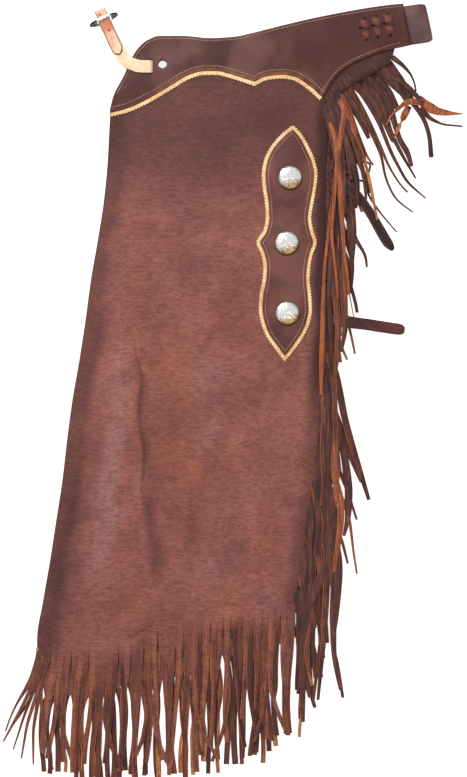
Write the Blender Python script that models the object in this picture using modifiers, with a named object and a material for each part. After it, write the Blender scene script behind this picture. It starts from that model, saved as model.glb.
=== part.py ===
"""Fringed leather chaps of the short "chinks" cut, folded in half and laid flat.

The near leg's panel lies on top, on the hidden layers. The waist is towards +Y and the hem
towards -Y, and the underside rests at z = 0. Tables and sizes are in millimetres.
"""
import math
import random

import bmesh
import bpy
from mathutils import Matrix, Vector

MM = 0.001
GAP = 0.3                    # between meshes that touch
BOX_MIDDLE = (-0.635, -4.46) # middle of the part's box, in the tables' measure

# Leathers and the heights at which they lie
PANEL_THICK = 2.0
PANEL_TOP = 12.5             # upper face of the near leg over the hidden layers
YOKE_THICK = 3.0
YOKE_REST = PANEL_TOP + GAP  # underside of the yoke where it lies on the panel
WAIST_REST = 8.2             # underside of the yoke at its front and top edge
BELT_REST = 9.8              # underside of the yoke over the belt
TRIM_THICK = 1.1
TRIM_WIDE = 5.6
TRIM_TOOTH = 0.9
TOOTH_PITCH = 4.0
STRAP_THICK = 2.2
BELT_WIDE = 50.0
BELT_THICK = 3.2
BELT_TILT = 12.0             # degrees, from +X towards +Y
BELT_FOLD = (253.8, 486.6)   # centre line of the belt at its fold
BELT_TUCK = 69.0             # length hidden below the yoke's end
CONCHO_WIDE = 31.8
CONCHO_HIGH = 5.2
CONCHO_SIDES = 18
HOLE_AT = (-91.6, 431.9)
HOLE_WIDE = 11.4
SLOT_X = (-108.0, -103.3)
SLOT_Y = (418.9, 437.1)

# Fringe
STRIP_WIDE = 5.0
STRIP_THICK = 1.8
STRAND_THICK = 1.5
NEAR_HEM_PITCH = 7.6
FAR_HEM_PITCH = 9.4
HEM_STRAND = 6.4
NEAR_SIDE_PITCH = 18.5
FAR_SIDE_PITCH = 29.0
SIDE_STRAND = 5.6
TIP_SHARE = 0.62             # width of a strand's tip, of its root's
STRAND_STEPS = (0.10, 0.35, 0.68, 1.0)
HEM_LANDING = 42.0           # length over which a strand comes down to where it lies
SIDE_LANDING = 22.0

# Edges of the near leg, as (y, x) rows
LEFT_EDGE = [(372, -159.5), (346, -161), (307, -163), (255, -168), (203, -176), (151, -185),
             (99, -192), (47, -200), (-5, -209), (-57, -216), (-109, -222), (-161, -230),
             (-213, -238), (-265, -247), (-317, -255), (-340, -254), (-392, -246)]
RIGHT_EDGE = [(470, 212), (445, 208), (435, 203), (417, 176), (398, 146), (378, 130),
              (346, 124), (281, 121), (190, 120), (86, 118), (-18, 113), (-96, 107),
              (-174, 95), (-232, 87), (-270, 82), (-300, 84)]
# Upper edge below the yoke, and the hems, as (x, y) rows
PANEL_UPPER = [(-160, 386), (-118, 404), (-78, 424), (-37, 440), (8, 437), (60, 437),
               (116, 442), (157, 454), (212, 466)]
LAYERS_UPPER = [(-160, 384), (-118, 402), (-78, 422), (-37, 437), (8, 434), (60, 434),
                (116, 436), (157, 437), (212, 438)]
NEAR_HEM = [(-256, -332), (-225, -323), (-173, -319), (-134, -315), (-98, -296), (-62, -292),
            (-30, -279), (22, -274), (82, -271)]
FAR_HEM = [(-246, -391), (-222, -389), (-178, -391), (-133, -373), (-88, -370), (-48, -349),
           (-18, -338), (14, -335), (55, -326), (74, -313), (87, -296)]

# Yoke, as (x, y) rows: its upper edge, and the lower edge's two scallops and sweep
YOKE_UPPER = [(-160, 372), (-155, 391), (-142, 417), (-129, 445), (-121, 455.5), (-112, 463),
              (-95, 469), (-66, 469), (-30, 466), (-1, 467.5), (22, 472), (58, 481), (87, 488),
              (110, 493), (146, 500), (178, 505.5), (204, 509), (221, 510.5)]
YOKE_FRONT_SCALLOP = [(-160, 368.6), (-139, 374), (-118, 383), (-98, 394), (-78, 406),
                      (-57, 418), (-37, 423), (-21, 423), (-7, 420), (8, 415.5), (28, 409)]
YOKE_SIDE_SCALLOP = [(28, 409), (38, 414.5), (48, 417), (64, 418.3), (79, 416), (93, 408.5),
                     (105, 399), (116, 389)]
YOKE_BACK_SWEEP = [(116, 389), (127, 406), (137, 419), (157, 433), (177, 442), (199, 450),
                   (221, 456)]

# Side panel with the conchos: (y, left x, right x) of its tan layer
PLATE = [(352, 78, 78), (340, 63, 89), (322, 48, 99), (307, 41, 105.5), (289, 38, 109),
         (272, 39, 107.5), (252, 42, 104), (231, 43, 101), (216, 40, 103.5), (200, 31, 108),
         (185, 37, 103), (169, 40, 100), (152, 39, 99), (131, 35, 101), (113, 34, 102),
         (96, 37, 99), (80, 43, 92), (61, 56, 79), (46, 67, 67)]
CONCHOS_AT = [(74, 284), (70, 199), (70.5, 108)]

# Largest folds of the near leg: centre, half length, half width, height, lean in degrees
FOLDS = [
    {"x": -152, "y": 2, "long": 115, "wide": 24, "high": 3.4, "lean": -9},
    {"x": -120, "y": -30, "long": 125, "wide": 7, "high": -2.2, "lean": -4},
    {"x": -98, "y": -60, "long": 130, "wide": 15, "high": 1.3, "lean": -6},
    {"x": -150, "y": -215, "long": 90, "wide": 40, "high": 1.6, "lean": -12},
    {"x": -20, "y": 20, "long": 150, "wide": 45, "high": 0.9, "lean": 4},
    {"x": -45, "y": -170, "long": 110, "wide": 28, "high": -0.9, "lean": 8},
    {"x": 35, "y": -150, "long": 120, "wide": 32, "high": 1.2, "lean": 3},
    {"x": -60, "y": 280, "long": 90, "wide": 50, "high": 0.8, "lean": -20},
]

# How the strands fall: (root, tip's shift in x, tip's shift in y) along each edge
NEAR_HEM_FALL = [(-250, -60, -104), (-240, -42, -122), (-230, -27, -140), (-216, -14, -160),
                 (-190, -6, -184), (-130, -3, -184), (-70, 2, -196), (-10, 2, -196),
                 (25, 0, -190), (50, -2, -170), (82, 2, -158)]
FAR_HEM_FALL = [(-246, -14, -92), (-222, -4, -108), (-150, 2, -116), (-60, 3, -140),
                (20, 2, -146), (60, 1, -132), (87, 4, -128)]
SIDE_FALL = [(437, 88, -66), (428, 64, -112), (412, 56, -132), (397, 70, -134), (384, 60, -132),
             (370, 40, -140), (340, 27, -150), (300, 22, -150), (250, 30, -140), (200, 26, -130),
             (150, 16, -138), (90, 14, -150), (30, 20, -150), (-20, 46, -152), (-60, 52, -160),
             (-100, 48, -160), (-150, 44, -160), (-200, 46, -168), (-240, 40, -172),
             (-262, 30, -168)]

FINISHES = {
    "panel_leather": ((0.250, 0.085, 0.072), 0.55, 0.0),
    "hidden_leather": ((0.150, 0.055, 0.042), 0.60, 0.0),
    "fringe_leather": ((0.135, 0.050, 0.036), 0.58, 0.0),
    "yoke_leather": ((0.130, 0.055, 0.054), 0.42, 0.0),
    "belt_leather": ((0.138, 0.080, 0.078), 0.40, 0.0),
    "tan_leather": ((0.810, 0.560, 0.330), 0.50, 0.0),
    "strap_leather": ((0.170, 0.085, 0.075), 0.45, 0.0),
    "silver": ((0.780, 0.760, 0.720), 0.22, 1.0),
    "nickel": ((0.620, 0.610, 0.600), 0.20, 1.0),
    "black_metal": ((0.020, 0.020, 0.020), 0.35, 1.0),
}


# Numbers and curves

def smooth(value):
    """Zero below 0, one above 1, and a soft step between."""
    value = min(1.0, max(0.0, value))
    return value * value * (3 - 2 * value)


def mix(low, high, share):
    return low + (high - low) * share


def through(rows, value=1):
    """A smooth function through the rows, which doesn't swing past them."""
    rows = sorted(rows)
    at = [row[0] for row in rows]
    level = [row[value] for row in rows]
    rise = [(b - a) / (q - p) for a, b, p, q in zip(level, level[1:], at, at[1:])]
    slope = [rise[0]]
    for before, after in zip(rise, rise[1:]):
        same_way = before * after > 0
        slope.append(2 * before * after / (before + after) if same_way else 0.0)
    slope.append(rise[-1])

    def curve(place):
        if place <= at[0]:
            return level[0] + slope[0] * (place - at[0])
        if place >= at[-1]:
            return level[-1] + slope[-1] * (place - at[-1])
        i = max(k for k in range(len(at) - 1) if at[k] <= place)
        span = at[i + 1] - at[i]
        t = (place - at[i]) / span
        return (level[i] * (1 + 2 * t) * (1 - t) ** 2 + slope[i] * span * t * (1 - t) ** 2
                + level[i + 1] * t * t * (3 - 2 * t) + slope[i + 1] * span * t * t * (t - 1))
    return curve


left_edge = through(LEFT_EDGE)
right_edge = through(RIGHT_EDGE)
panel_upper = through(PANEL_UPPER)
layers_upper = through(LAYERS_UPPER)
near_hem = through(NEAR_HEM)
far_hem = through(FAR_HEM)
yoke_upper = through(YOKE_UPPER)
front_scallop = through(YOKE_FRONT_SCALLOP)
side_scallop = through(YOKE_SIDE_SCALLOP)
back_sweep = through(YOKE_BACK_SWEEP)
plate_left = through(PLATE, 1)
plate_right = through(PLATE, 2)


def yoke_lower(x):
    if x < YOKE_SIDE_SCALLOP[0][0]:
        return front_scallop(x)
    return side_scallop(x) if x < YOKE_BACK_SWEEP[0][0] else back_sweep(x)


# Heights

ROUND_LEFT = 15.0            # reach of the rounding over the left fold
ROUND_DROP = 3.2
ROUND_RIGHT = 14.0
RIGHT_DROP = 2.5
ROUND_HEM = 26.0
HEM_DROP = 3.0


def fold_height(x, y):
    """How far the folds lift the near leg, none near the yoke or the side panel."""
    calm_x = max(0.0, 28 - x, x - 114)
    calm_y = max(0.0, 40 - y, y - 358)
    calm = smooth(math.hypot(calm_x, calm_y) / 30) * smooth((350 - y) / 60)
    lift = 0.0
    for fold in FOLDS:
        lean = math.radians(fold["lean"])
        dx = x - fold["x"]
        dy = y - fold["y"]
        along = dy * math.cos(lean) - dx * math.sin(lean)
        across = dx * math.cos(lean) + dy * math.sin(lean)
        lift += fold["high"] * math.exp(-(along / fold["long"]) ** 2
                                        - (across / fold["wide"]) ** 2)
    return calm * lift


def panel_height(x, y):
    """Upper face of the near leg: flat, with folds, and rounded off towards its edges."""
    from_left = max(0.0, x - left_edge(y))
    from_right = max(0.0, right_edge(y) - x)
    from_hem = max(0.0, y - near_hem(x))
    reach = mix(ROUND_LEFT, 5.0, smooth((y - 250) / 110))
    left = ROUND_DROP * (1 - math.sqrt(max(0.0, 1 - max(0.0, 1 - from_left / reach) ** 2)))
    right = RIGHT_DROP * max(0.0, 1 - from_right / ROUND_RIGHT) ** 2 * smooth((440 - y) / 50)
    hem = HEM_DROP * max(0.0, 1 - from_hem / ROUND_HEM) ** 2
    return PANEL_TOP + fold_height(x, y) - left - right - hem


def yoke_rest(x, y):
    """Underside of the yoke, level on the panel and lower towards the waist's edge."""
    waist = mix(WAIST_REST, BELT_REST, smooth((x - 60) / 100))
    start = panel_upper(x) + 5
    span = max(14.0, yoke_upper(x) - start)
    return mix(YOKE_REST, waist, smooth((y - start) / span))


def yoke_top(x, y):
    return yoke_rest(x, y) + YOKE_THICK


# Building solids

def clear_scene():
    for thing in list(bpy.data.objects):
        bpy.data.objects.remove(thing, do_unlink=True)


def new_collection(name):
    made = bpy.data.collections.new(name)
    bpy.context.scene.collection.children.link(made)
    return made


def leather(name):
    """One Principled material for each finish, made once."""
    made = bpy.data.materials.get(name)
    if made:
        return made
    colour, roughness, metallic = FINISHES[name]
    made = bpy.data.materials.new(name)
    made.use_nodes = True
    shader = made.node_tree.nodes["Principled BSDF"]
    shader.inputs["Base Color"].default_value = (*colour, 1.0)
    shader.inputs["Roughness"].default_value = roughness
    shader.inputs["Metallic"].default_value = metallic
    made.diffuse_color = (*colour, 1.0)
    return made


def add(name, mesh, finish, smooth_below=40):
    mesh.materials.append(leather(finish))
    made = bpy.data.objects.new(name, mesh)
    garment.objects.link(made)
    mesh.shade_smooth()
    mesh.set_sharp_from_angle(angle=math.radians(smooth_below))
    return made


def mesh_from(name, bm):
    """The solid in metres, with its faces pointing out."""
    bmesh.ops.scale(bm, vec=(MM, MM, MM), verts=bm.verts)
    bmesh.ops.recalc_face_normals(bm, faces=bm.faces)
    mesh = bpy.data.meshes.new(name)
    bm.to_mesh(mesh)
    bm.free()
    return mesh


def grid_faces(bm, rows):
    for upper, lower in zip(rows, rows[1:]):
        for k in range(len(upper) - 1):
            bm.faces.new((upper[k], lower[k], lower[k + 1], upper[k + 1]))


def rim(grid):
    """The corner-to-corner loop round a grid of vertices."""
    right = [row[-1] for row in grid[1:-1]]
    left = [row[0] for row in grid[1:-1]]
    return grid[0] + right + grid[-1][::-1] + left[::-1]


def two_faced(name, upper, lower, finish):
    """A closed solid between two grids of points that match row for row."""
    bm = bmesh.new()
    grids = [[[bm.verts.new(point) for point in row] for row in face] for face in (upper, lower)]
    for grid in grids:
        grid_faces(bm, grid)
    above, below = (rim(grid) for grid in grids)
    for i in range(len(above)):
        bm.faces.new((above[i - 1], above[i], below[i], below[i - 1]))
    return add(name, mesh_from(name, bm), finish)


def ribbon(name, rows, thick, finish, wide=None):
    """A strap through rows of (x, y, z, heading in degrees[, width]), z at mid thickness."""
    upper, lower = [], []
    points = [Vector(row[:3]) for row in rows]
    for i, row in enumerate(rows):
        side = Vector((-math.sin(math.radians(row[3])), math.cos(math.radians(row[3])), 0))
        ahead = points[min(i + 1, len(rows) - 1)] - points[max(i - 1, 0)]
        out = ahead.cross(side).normalized() * (thick / 2)
        half = side * ((row[4] if len(row) > 4 else wide) / 2)
        upper.append([points[i] - half + out, points[i] + half + out])
        lower.append([points[i] - half - out, points[i] + half - out])
    return two_faced(name, upper, lower, finish)


def cut(target, tool):
    change = target.modifiers.new("cut", "BOOLEAN")
    change.operation = "DIFFERENCE"
    change.solver = "EXACT"
    change.object = tool


def as_cutter(tool, name):
    tool.name = name
    for owner in list(tool.users_collection):
        owner.objects.unlink(tool)
    cutters.objects.link(tool)
    tool.hide_render = True
    tool.display_type = "WIRE"
    return tool


# Near leg and the layers below it

ROW_SHARES = [0, 0.02, 0.04, 0.06, 0.085, 0.11, 0.14, 0.18, 0.24, 0.31, 0.38, 0.44, 0.50,
              0.56, 0.62, 0.68, 0.74, 0.80, 0.86, 0.92, 0.955, 0.98, 1]
FROM_LEFT = [0.5, 2.0, 4.6, 8.5, 15.0]
MIDDLE = [0.05, 0.10, 0.16, 0.23, 0.31, 0.40, 0.50, 0.60, 0.70, 0.80, 0.90]
FROM_RIGHT = [13.0, 6.0, 0.0]
LIP = [(4.4, 5.6), (1.8, 5.9), (0.3, 6.9)]       # turned-under edge: in from the left, height
PANEL_PLACES = ([("left", u) for u in FROM_LEFT] + [("middle", s) for s in MIDDLE]
                + [("right", u) for u in FROM_RIGHT])


def column_x(kind, amount, y, inset=0.0):
    """A column's x at y: so far in from the left edge, a share of the middle, or the right."""
    left = left_edge(y)
    right = right_edge(y) - inset
    if kind == "left":
        return left + amount
    if kind == "right":
        return right - amount
    return mix(left + FROM_LEFT[-1], right - FROM_RIGHT[0], amount)


def column(kind, amount, upper_edge, lower_edge, inset=0.0, shares=ROW_SHARES):
    """Points (x, y) down one column, from the upper edge's curve to the lower one's."""
    ends = []
    for edge, guess in ((upper_edge, 430.0), (lower_edge, -300.0)):
        y = guess
        for _ in range(8):
            y = edge(column_x(kind, amount, y, inset))
        ends.append(y)
    ys = [mix(ends[0], ends[1], share) for share in shares]
    return [(column_x(kind, amount, y, inset), y) for y in ys]


def leg_panel():
    columns = []
    for inward, height in LIP:
        low = column("left", inward, panel_upper, near_hem)
        columns.append([(x, y, height) for x, y in low])
    for kind, amount in PANEL_PLACES:
        points = column(kind, amount, panel_upper, near_hem)
        columns.append([(x, y, panel_height(x, y)) for x, y in points])
    bm = bmesh.new()
    rows = [[bm.verts.new(point) for point in row] for row in zip(*columns)]
    grid_faces(bm, rows)
    mesh = mesh_from("leg_panel", bm)
    panel = add("leg_panel", mesh, "panel_leather")
    if sum(face.normal.z * face.area for face in mesh.polygons) < 0:
        mesh.flip_normals()
    wall = panel.modifiers.new("wall", "SOLIDIFY")
    wall.thickness = PANEL_THICK * MM
    wall.offset = -1
    return panel


LAYER_STEP = 2.9             # top of the hidden layers past the near hem
LAYER_INSET = 2.2            # right edge of the hidden layers, in from the near leg's
LAYER_SHARES = [0, 0.03, 0.06, 0.095, 0.14, 0.20, 0.30, 0.41, 0.52, 0.63, 0.74, 0.84, 0.93, 1]
HEM_SHARES = [0.2, 0.4, 0.62, 1]
ABOVE_HEM = 8.0              # where the hidden layers' rows change from one list to the other
LAYER_PLACES = ([("left", 6.2), ("left", 9.5), ("left", 15.0)]
                + [("middle", s) for s in (0.06, 0.13, 0.22, 0.34, 0.48, 0.62, 0.76, 0.88, 0.96)]
                + [("right", 9.0), ("right", 4.0), ("right", 0.9), ("right", 0.0)])


def layers_height(x, y):
    """Upper face of the hidden layers: just below the near leg, and low past its hem."""
    near = min(panel_height(x + step, y) for step in (-9, 0, 9) if left_edge(y) < x + step)
    below_panel = near - PANEL_THICK - GAP - 0.5
    past_hem = smooth((near_hem(x) + 6 - y) / 34)
    return mix(min(below_panel, PANEL_TOP), LAYER_STEP, past_hem)


def above_hem(x):
    return near_hem(x) + ABOVE_HEM


def layers_column(kind, amount):
    main = column(kind, amount, layers_upper, above_hem, LAYER_INSET, LAYER_SHARES)
    return main + column(kind, amount, above_hem, far_hem, LAYER_INSET, HEM_SHARES)


def under_layers():
    """One rounded solid for the hidden layers, flat below, stepped along its left edge."""
    pairs = []
    for inward, high, low in ((0.9, 3.3, 1.7), (1.9, 4.6, 0.5), (5.6, 5.0, 0.0)):
        points = layers_column("left", inward)
        lower = [(x, y, low) for x, y in points]
        upper = [(x, y, min(high, layers_height(x, y) - 0.2)) for x, y in points]
        pairs.append((upper, lower))
    for kind, amount in LAYER_PLACES:
        points = layers_column(kind, amount)
        edge = (kind, amount) == ("right", 0.0)
        drop = 1.0 if edge else 0.0
        foot = 0.7 if edge else 0.0
        upper = [(x, y, layers_height(x, y) - drop) for x, y in points]
        pairs.append((upper, [(x, y, foot) for x, y in points]))
    upper = [list(row) for row in zip(*(pair[0] for pair in pairs))]
    lower = [list(row) for row in zip(*(pair[1] for pair in pairs))]
    return two_faced("under_layers", upper, lower, "hidden_leather")


def line_along(points, by):
    """A function that runs straight from point to point, by their x (0) or their y (1)."""
    points = sorted(points, key=lambda point: point[by])

    def at(place):
        i = max((k for k in range(len(points) - 1) if points[k][by] <= place), default=0)
        here, there = points[i], points[i + 1]
        share = (place - here[by]) / (there[by] - here[by])
        return mix(here[1 - by], there[1 - by], share)
    return at


# The solids' own edges, straight between their points, for what is seated against them
panel_hem_line = line_along([column(*place, panel_upper, near_hem)[-1]
                             for place in PANEL_PLACES], 0)
layers_hem_line = line_along([layers_column(*place)[-1] for place in LAYER_PLACES], 0)
panel_side_line = line_along(column("right", 0.0, panel_upper, near_hem), 1)
layers_side_line = line_along(layers_column("right", 0.0), 1)


# Yokes, trim and belt

YOKE_COLUMNS = [-160, -157, -152, -146, -139, -131, -123, -116, -109, -100, -90, -80, -70, -59,
                -48, -37, -27, -15, -4, 7, 17, 28, 35, 43, 53, 64, 75, 86, 96, 106, 116, 122,
                131, 143, 158, 178, 200, 221]
YOKE_ROWS = [0, 0.12, 0.3, 0.5, 0.7, 0.88, 1]


def yoke():
    upper, lower = [], []
    for x in YOKE_COLUMNS:
        ys = [mix(yoke_lower(x), yoke_upper(x), share) for share in YOKE_ROWS]
        upper.append([(x, y, yoke_top(x, y)) for y in ys])
        lower.append([(x, y, yoke_rest(x, y)) for y in ys])
    made = two_faced("yoke", upper, lower, "yoke_leather")
    slot_size = (SLOT_X[1] - SLOT_X[0], SLOT_Y[1] - SLOT_Y[0], 30.0)
    slot_at = (sum(SLOT_X) / 2, sum(SLOT_Y) / 2, 11.0)
    bpy.ops.mesh.primitive_cube_add(size=1, location=[v * MM for v in slot_at])
    slot = as_cutter(bpy.context.object, "slot_cutter")
    slot.scale = [v * MM for v in slot_size]
    cut(made, slot)
    cut(made, hole_cutter())
    return made


def hole_cutter():
    made = bpy.data.objects.get("hole_cutter")
    if made is None:
        bpy.ops.mesh.primitive_cylinder_add(vertices=20, radius=HOLE_WIDE / 2 * MM, depth=60 * MM,
                                            location=(HOLE_AT[0] * MM, HOLE_AT[1] * MM, 10 * MM))
        made = as_cutter(bpy.context.object, "hole_cutter")
    return made


def far_yoke():
    """The far leg's yoke and the leather between the two, flat where it rests."""
    inset = 2.0
    upper, lower = [], []
    for x in (-146, -139, -130, -120, -104, -84, -60, -37, -15, 8, 34, 60, 90, 120, 150, 176):
        start = panel_upper(x) + 1.4
        stop = yoke_upper(x) - inset
        ys = [mix(start, stop - 0.8, share) for share in (0, 0.3, 0.55, 0.8, 1)] + [stop]
        tops = [min(yoke_rest(x, y), yoke_rest(x, y + 3)) - GAP - 0.2 for y in ys]
        tops[-1] -= 1.0
        feet = [0.0] * (len(ys) - 1) + [0.8]
        upper.append([(x, y, z) for y, z in zip(ys, tops)])
        lower.append([(x, y, z) for y, z in zip(ys, feet)])
    made = two_faced("far_yoke", upper, lower, "yoke_leather")
    cut(made, hole_cutter())
    return made


def spaced(points, step):
    """Points a step apart along a line of points, with both ends kept."""
    runs = [math.dist(a, b) for a, b in zip(points, points[1:])]
    count = max(1, round(sum(runs) / step))
    made = [points[0]]
    travelled, i = 0.0, 0
    for k in range(1, count):
        goal = sum(runs) * k / count
        while travelled + runs[i] < goal:
            travelled += runs[i]
            i += 1
        share = (goal - travelled) / runs[i]
        made.append(tuple(mix(a, b, share) for a, b in zip(points[i], points[i + 1])))
    return made + [points[-1]]


def side_of(points, i):
    """Unit vector to the right of the way along the points, at point i."""
    before = points[max(i - 1, 0)]
    after = points[min(i + 1, len(points) - 1)]
    way = Vector((after[0] - before[0], after[1] - before[1])).normalized()
    return Vector((way.y, -way.x))


def yoke_trim():
    """The pinked band beside the yoke's lower edge, on the near leg."""
    stop = YOKE_BACK_SWEEP[0][0]
    edge = [(x, yoke_lower(x)) for x in YOKE_COLUMNS if x <= stop]
    fine = spaced(edge, TOOTH_PITCH / 2)
    teeth = []
    for i, (x, y) in enumerate(fine):
        away = side_of(fine, i)
        reach = TRIM_WIDE + (TRIM_TOOTH if i % 2 else -TRIM_TOOTH / 2)
        teeth.append((x + away.x * reach, y + away.y * reach))
    seat = [(x, y - GAP * 1.5) for x, y in edge]
    return flat_solid("yoke_trim", [teeth + seat[::-1]], YOKE_REST, TRIM_THICK, "tan_leather")


def belt_back():
    """The belt, folded at the centre back, with both ends below the yokes."""
    tilt = math.radians(BELT_TILT)
    near_mid = BELT_REST - GAP - BELT_THICK / 2
    far_mid = BELT_THICK / 2
    bend = (near_mid - far_mid) / 2
    path = [(-BELT_TUCK, near_mid), (-BELT_TUCK / 2, near_mid), (0, near_mid)]
    path += [(bend * math.sin(math.radians(a)), (near_mid + far_mid) / 2
              + bend * math.cos(math.radians(a))) for a in (30, 60, 90, 120, 150)]
    path += [(0, far_mid), (-BELT_TUCK / 2, far_mid), (-BELT_TUCK, far_mid)]
    rows = [(BELT_FOLD[0] + along * math.cos(tilt), BELT_FOLD[1] + along * math.sin(tilt), z,
             BELT_TILT) for along, z in path]
    return ribbon("belt_back", rows, BELT_THICK, "belt_leather", BELT_WIDE)


def lacing(name, x, y, lean):
    """Two crossed loops of lace, one above the other, each wide at its middle."""
    shape = [(-15, 1.4, 0.7), (-10.5, 4.6, 1.7), (-6, 4.6, 1.8), (0, 1.6, 1.2),
             (6, 4.6, 1.8), (10.5, 4.6, 1.7), (15, 1.4, 0.7)]
    upper, lower = [], []
    turn = math.radians(lean)
    for along, half, high in shape:
        upper_row, lower_row = [], []
        for share in (-1, 0, 1):
            across = share * half
            px = x + across * math.cos(turn) - along * math.sin(turn)
            py = y + across * math.sin(turn) + along * math.cos(turn)
            base = yoke_top(px, py) + GAP
            upper_row.append((px, py, base + 0.5 + high * (1 - share * share)))
            lower_row.append((px, py, base))
        upper.append(upper_row)
        lower.append(lower_row)
    return two_faced(name, upper, lower, "belt_leather")


# Side panel and conchos

def plate_outline(margin, step):
    """The side panel's outline, clockwise from its upper tip, drawn in by a margin."""
    top, bottom = PLATE[0][0], PLATE[-1][0]
    ys = [mix(top, bottom, k / 300) for k in range(301)]
    sides = []
    for edge, sign in ((plate_right, -1), (plate_left, 1)):
        side = []
        for y in ys:
            slope = (edge(y + 0.5) - edge(y - 0.5)) if bottom + 1 < y < top - 1 else 1.0
            side.append((edge(y) + sign * margin * math.hypot(1, slope), y))
        sides.append(side)
    inside = [k for k in range(301) if sides[0][k][0] - sides[1][k][0] >= 0]
    right, left = ([side[k] for k in inside] for side in sides)
    for k in (0, -1):
        middle = (right[k][0] + left[k][0]) / 2
        right[k] = left[k] = (middle, right[k][1])
    return spaced(right, step)[:-1] + spaced(left[::-1], step)[:-1]


def flat_solid(name, outlines, low, thick, finish):
    """A flat outline, its holes after it, as a filled 2D curve with a thickness."""
    line = bpy.data.curves.new(name, "CURVE")
    line.dimensions = "2D"
    line.fill_mode = "BOTH"
    line.extrude = thick / 2 * MM
    for outline in outlines:
        path = line.splines.new("POLY")
        path.points.add(len(outline) - 1)
        for point, (x, y) in zip(path.points, outline):
            point.co = (x * MM, y * MM, 0, 1)
        path.use_cyclic_u = True
    line.materials.append(leather(finish))
    made = bpy.data.objects.new(name, line)
    made.location = (0, 0, (low + thick / 2) * MM)
    garment.objects.link(made)
    return made


def side_panel():
    low = PANEL_TOP + GAP
    mid_line = plate_outline(0.0, TOOTH_PITCH / 2)
    teeth = []
    for i, (x, y) in enumerate(mid_line):
        before, after = mid_line[i - 1], mid_line[(i + 1) % len(mid_line)]
        way = Vector((after[0] - before[0], after[1] - before[1])).normalized()
        out = TRIM_TOOTH if i % 2 else -TRIM_TOOTH / 2
        teeth.append((x - way.y * out, y + way.x * out))
    flat_solid("concho_trim", [teeth], low, TRIM_THICK, "tan_leather")
    above = low + TRIM_THICK + GAP
    flat_solid("concho_plate", [plate_outline(TRIM_WIDE, 9.0)], above, PANEL_THICK, "yoke_leather")
    seat = above + PANEL_THICK + GAP
    for number, (x, y) in enumerate(CONCHOS_AT, start=1):
        concho(f"concho_{number}", x, y, seat)


def concho(name, x, y, seat):
    """A turned dome with a thin rolled rim and a flat base."""
    radius = CONCHO_WIDE / 2
    profile = [(0.0, 0.0), (radius - 0.6, 0.0), (radius, 0.6), (radius - 0.3, 1.2)]
    profile += [(radius * math.sin(a) * 0.96, 1.2 + (CONCHO_HIGH - 1.2) * math.cos(a))
                for a in (math.radians(d) for d in (72, 54, 36, 18))]
    profile.append((0.0, CONCHO_HIGH))
    bm = bmesh.new()
    points = [bm.verts.new((r * MM, 0, z * MM)) for r, z in profile[::-1]]
    for a, b in zip(points, points[1:]):
        bm.edges.new((a, b))
    mesh = bpy.data.meshes.new(name)
    bm.to_mesh(mesh)
    bm.free()
    made = add(name, mesh, "silver")
    made.location = (x * MM, y * MM, seat * MM)
    turn = made.modifiers.new("turn", "SCREW")
    turn.steps = CONCHO_SIDES
    turn.render_steps = CONCHO_SIDES
    turn.use_merge_vertices = True
    turn.merge_threshold = 0.00001
    return made


# Fringe

def strand_path(root, shift, way, bow):
    """Points in plan along a strand, from its root, which it leaves along way, to its tip."""
    start = Vector(root)
    tip = start + Vector(shift)
    lead = Vector(way).normalized() * 0.12 * (tip - start).length
    first = start + lead
    third = tip - (tip - start) * 0.38 + Vector((bow, 0))
    points = []
    for t in STRAND_STEPS:
        points.append((1 - t) ** 3 * start + 3 * t * (1 - t) ** 2 * first
                      + 3 * t * t * (1 - t) * third + t ** 3 * tip)
    return points


def fringe(name, spots, finish="fringe_leather"):
    """A narrow strip with strands that grow from its outer face, one closed solid.

    A spot is one strand: the two ends of its root on the strip's inner edge, the way out of
    the edge, the strip's height, and the strand's shift, bow, resting height and root width.
    """
    bm = bmesh.new()
    loops = []
    for spot in spots:
        out = Vector(spot["out"]).normalized() * STRIP_WIDE
        top, low = spot["top"], spot["top"] - STRIP_THICK
        for end in spot["ends"]:
            inner = Vector(end)
            outer = inner + out
            loops.append([bm.verts.new((*inner, top)), bm.verts.new((*outer, top)),
                          bm.verts.new((*outer, low)), bm.verts.new((*inner, low))])
    for here, there in zip(loops, loops[1:]):
        for a, b in ((0, 1), (2, 3), (3, 0)):
            bm.faces.new((here[a], here[b], there[b], there[a]))
    bm.faces.new(loops[0])
    bm.faces.new(loops[-1][::-1])
    for k in range(1, len(loops) - 1, 2):
        bm.faces.new((loops[k][1], loops[k][2], loops[k + 1][2], loops[k + 1][1]))
    for spot, first, second in zip(spots, loops[::2], loops[1::2]):
        ring = [first[1], second[1], second[2], first[2]]
        root_a, root_b = Vector(first[1].co[:2]), Vector(second[1].co[:2])
        root = (root_a + root_b) / 2
        path = strand_path(root, spot["shift"], spot["out"], spot["bow"])
        root_z = spot["top"] - STRIP_THICK / 2
        last = root
        side = (root_b - root_a).normalized()
        for k, point in enumerate(path):
            ahead = path[min(k + 1, len(path) - 1)] - last
            turned = Vector((-ahead.y, ahead.x)).normalized()
            side = turned if turned.dot(side) > 0 else -turned
            share = (k + 1) / len(path)
            half = spot["wide"] / 2 * mix(1.0, TIP_SHARE, share ** 2)
            z = mix(root_z, spot["rest"], smooth((point - root).length / spot["drop"]))
            slant = spot["slant"] if k == len(path) - 1 else 0.0
            way = ahead.normalized() * slant
            a, b = point - side * half - way, point + side * half + way
            up, down = z + STRAND_THICK / 2, z - STRAND_THICK / 2
            next_ring = [bm.verts.new((*a, up)), bm.verts.new((*b, up)),
                         bm.verts.new((*b, down)), bm.verts.new((*a, down))]
            for i in range(4):
                bm.faces.new((ring[i - 1], ring[i], next_ring[i], next_ring[i - 1]))
            ring = next_ring
            last = point
        bm.faces.new(ring)
    return add(name, mesh_from(name, bm), finish)


def fall(rows):
    """The shift of a strand's tip as smooth functions of its root's place."""
    return through(rows, 1), through(rows, 2)


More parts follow.
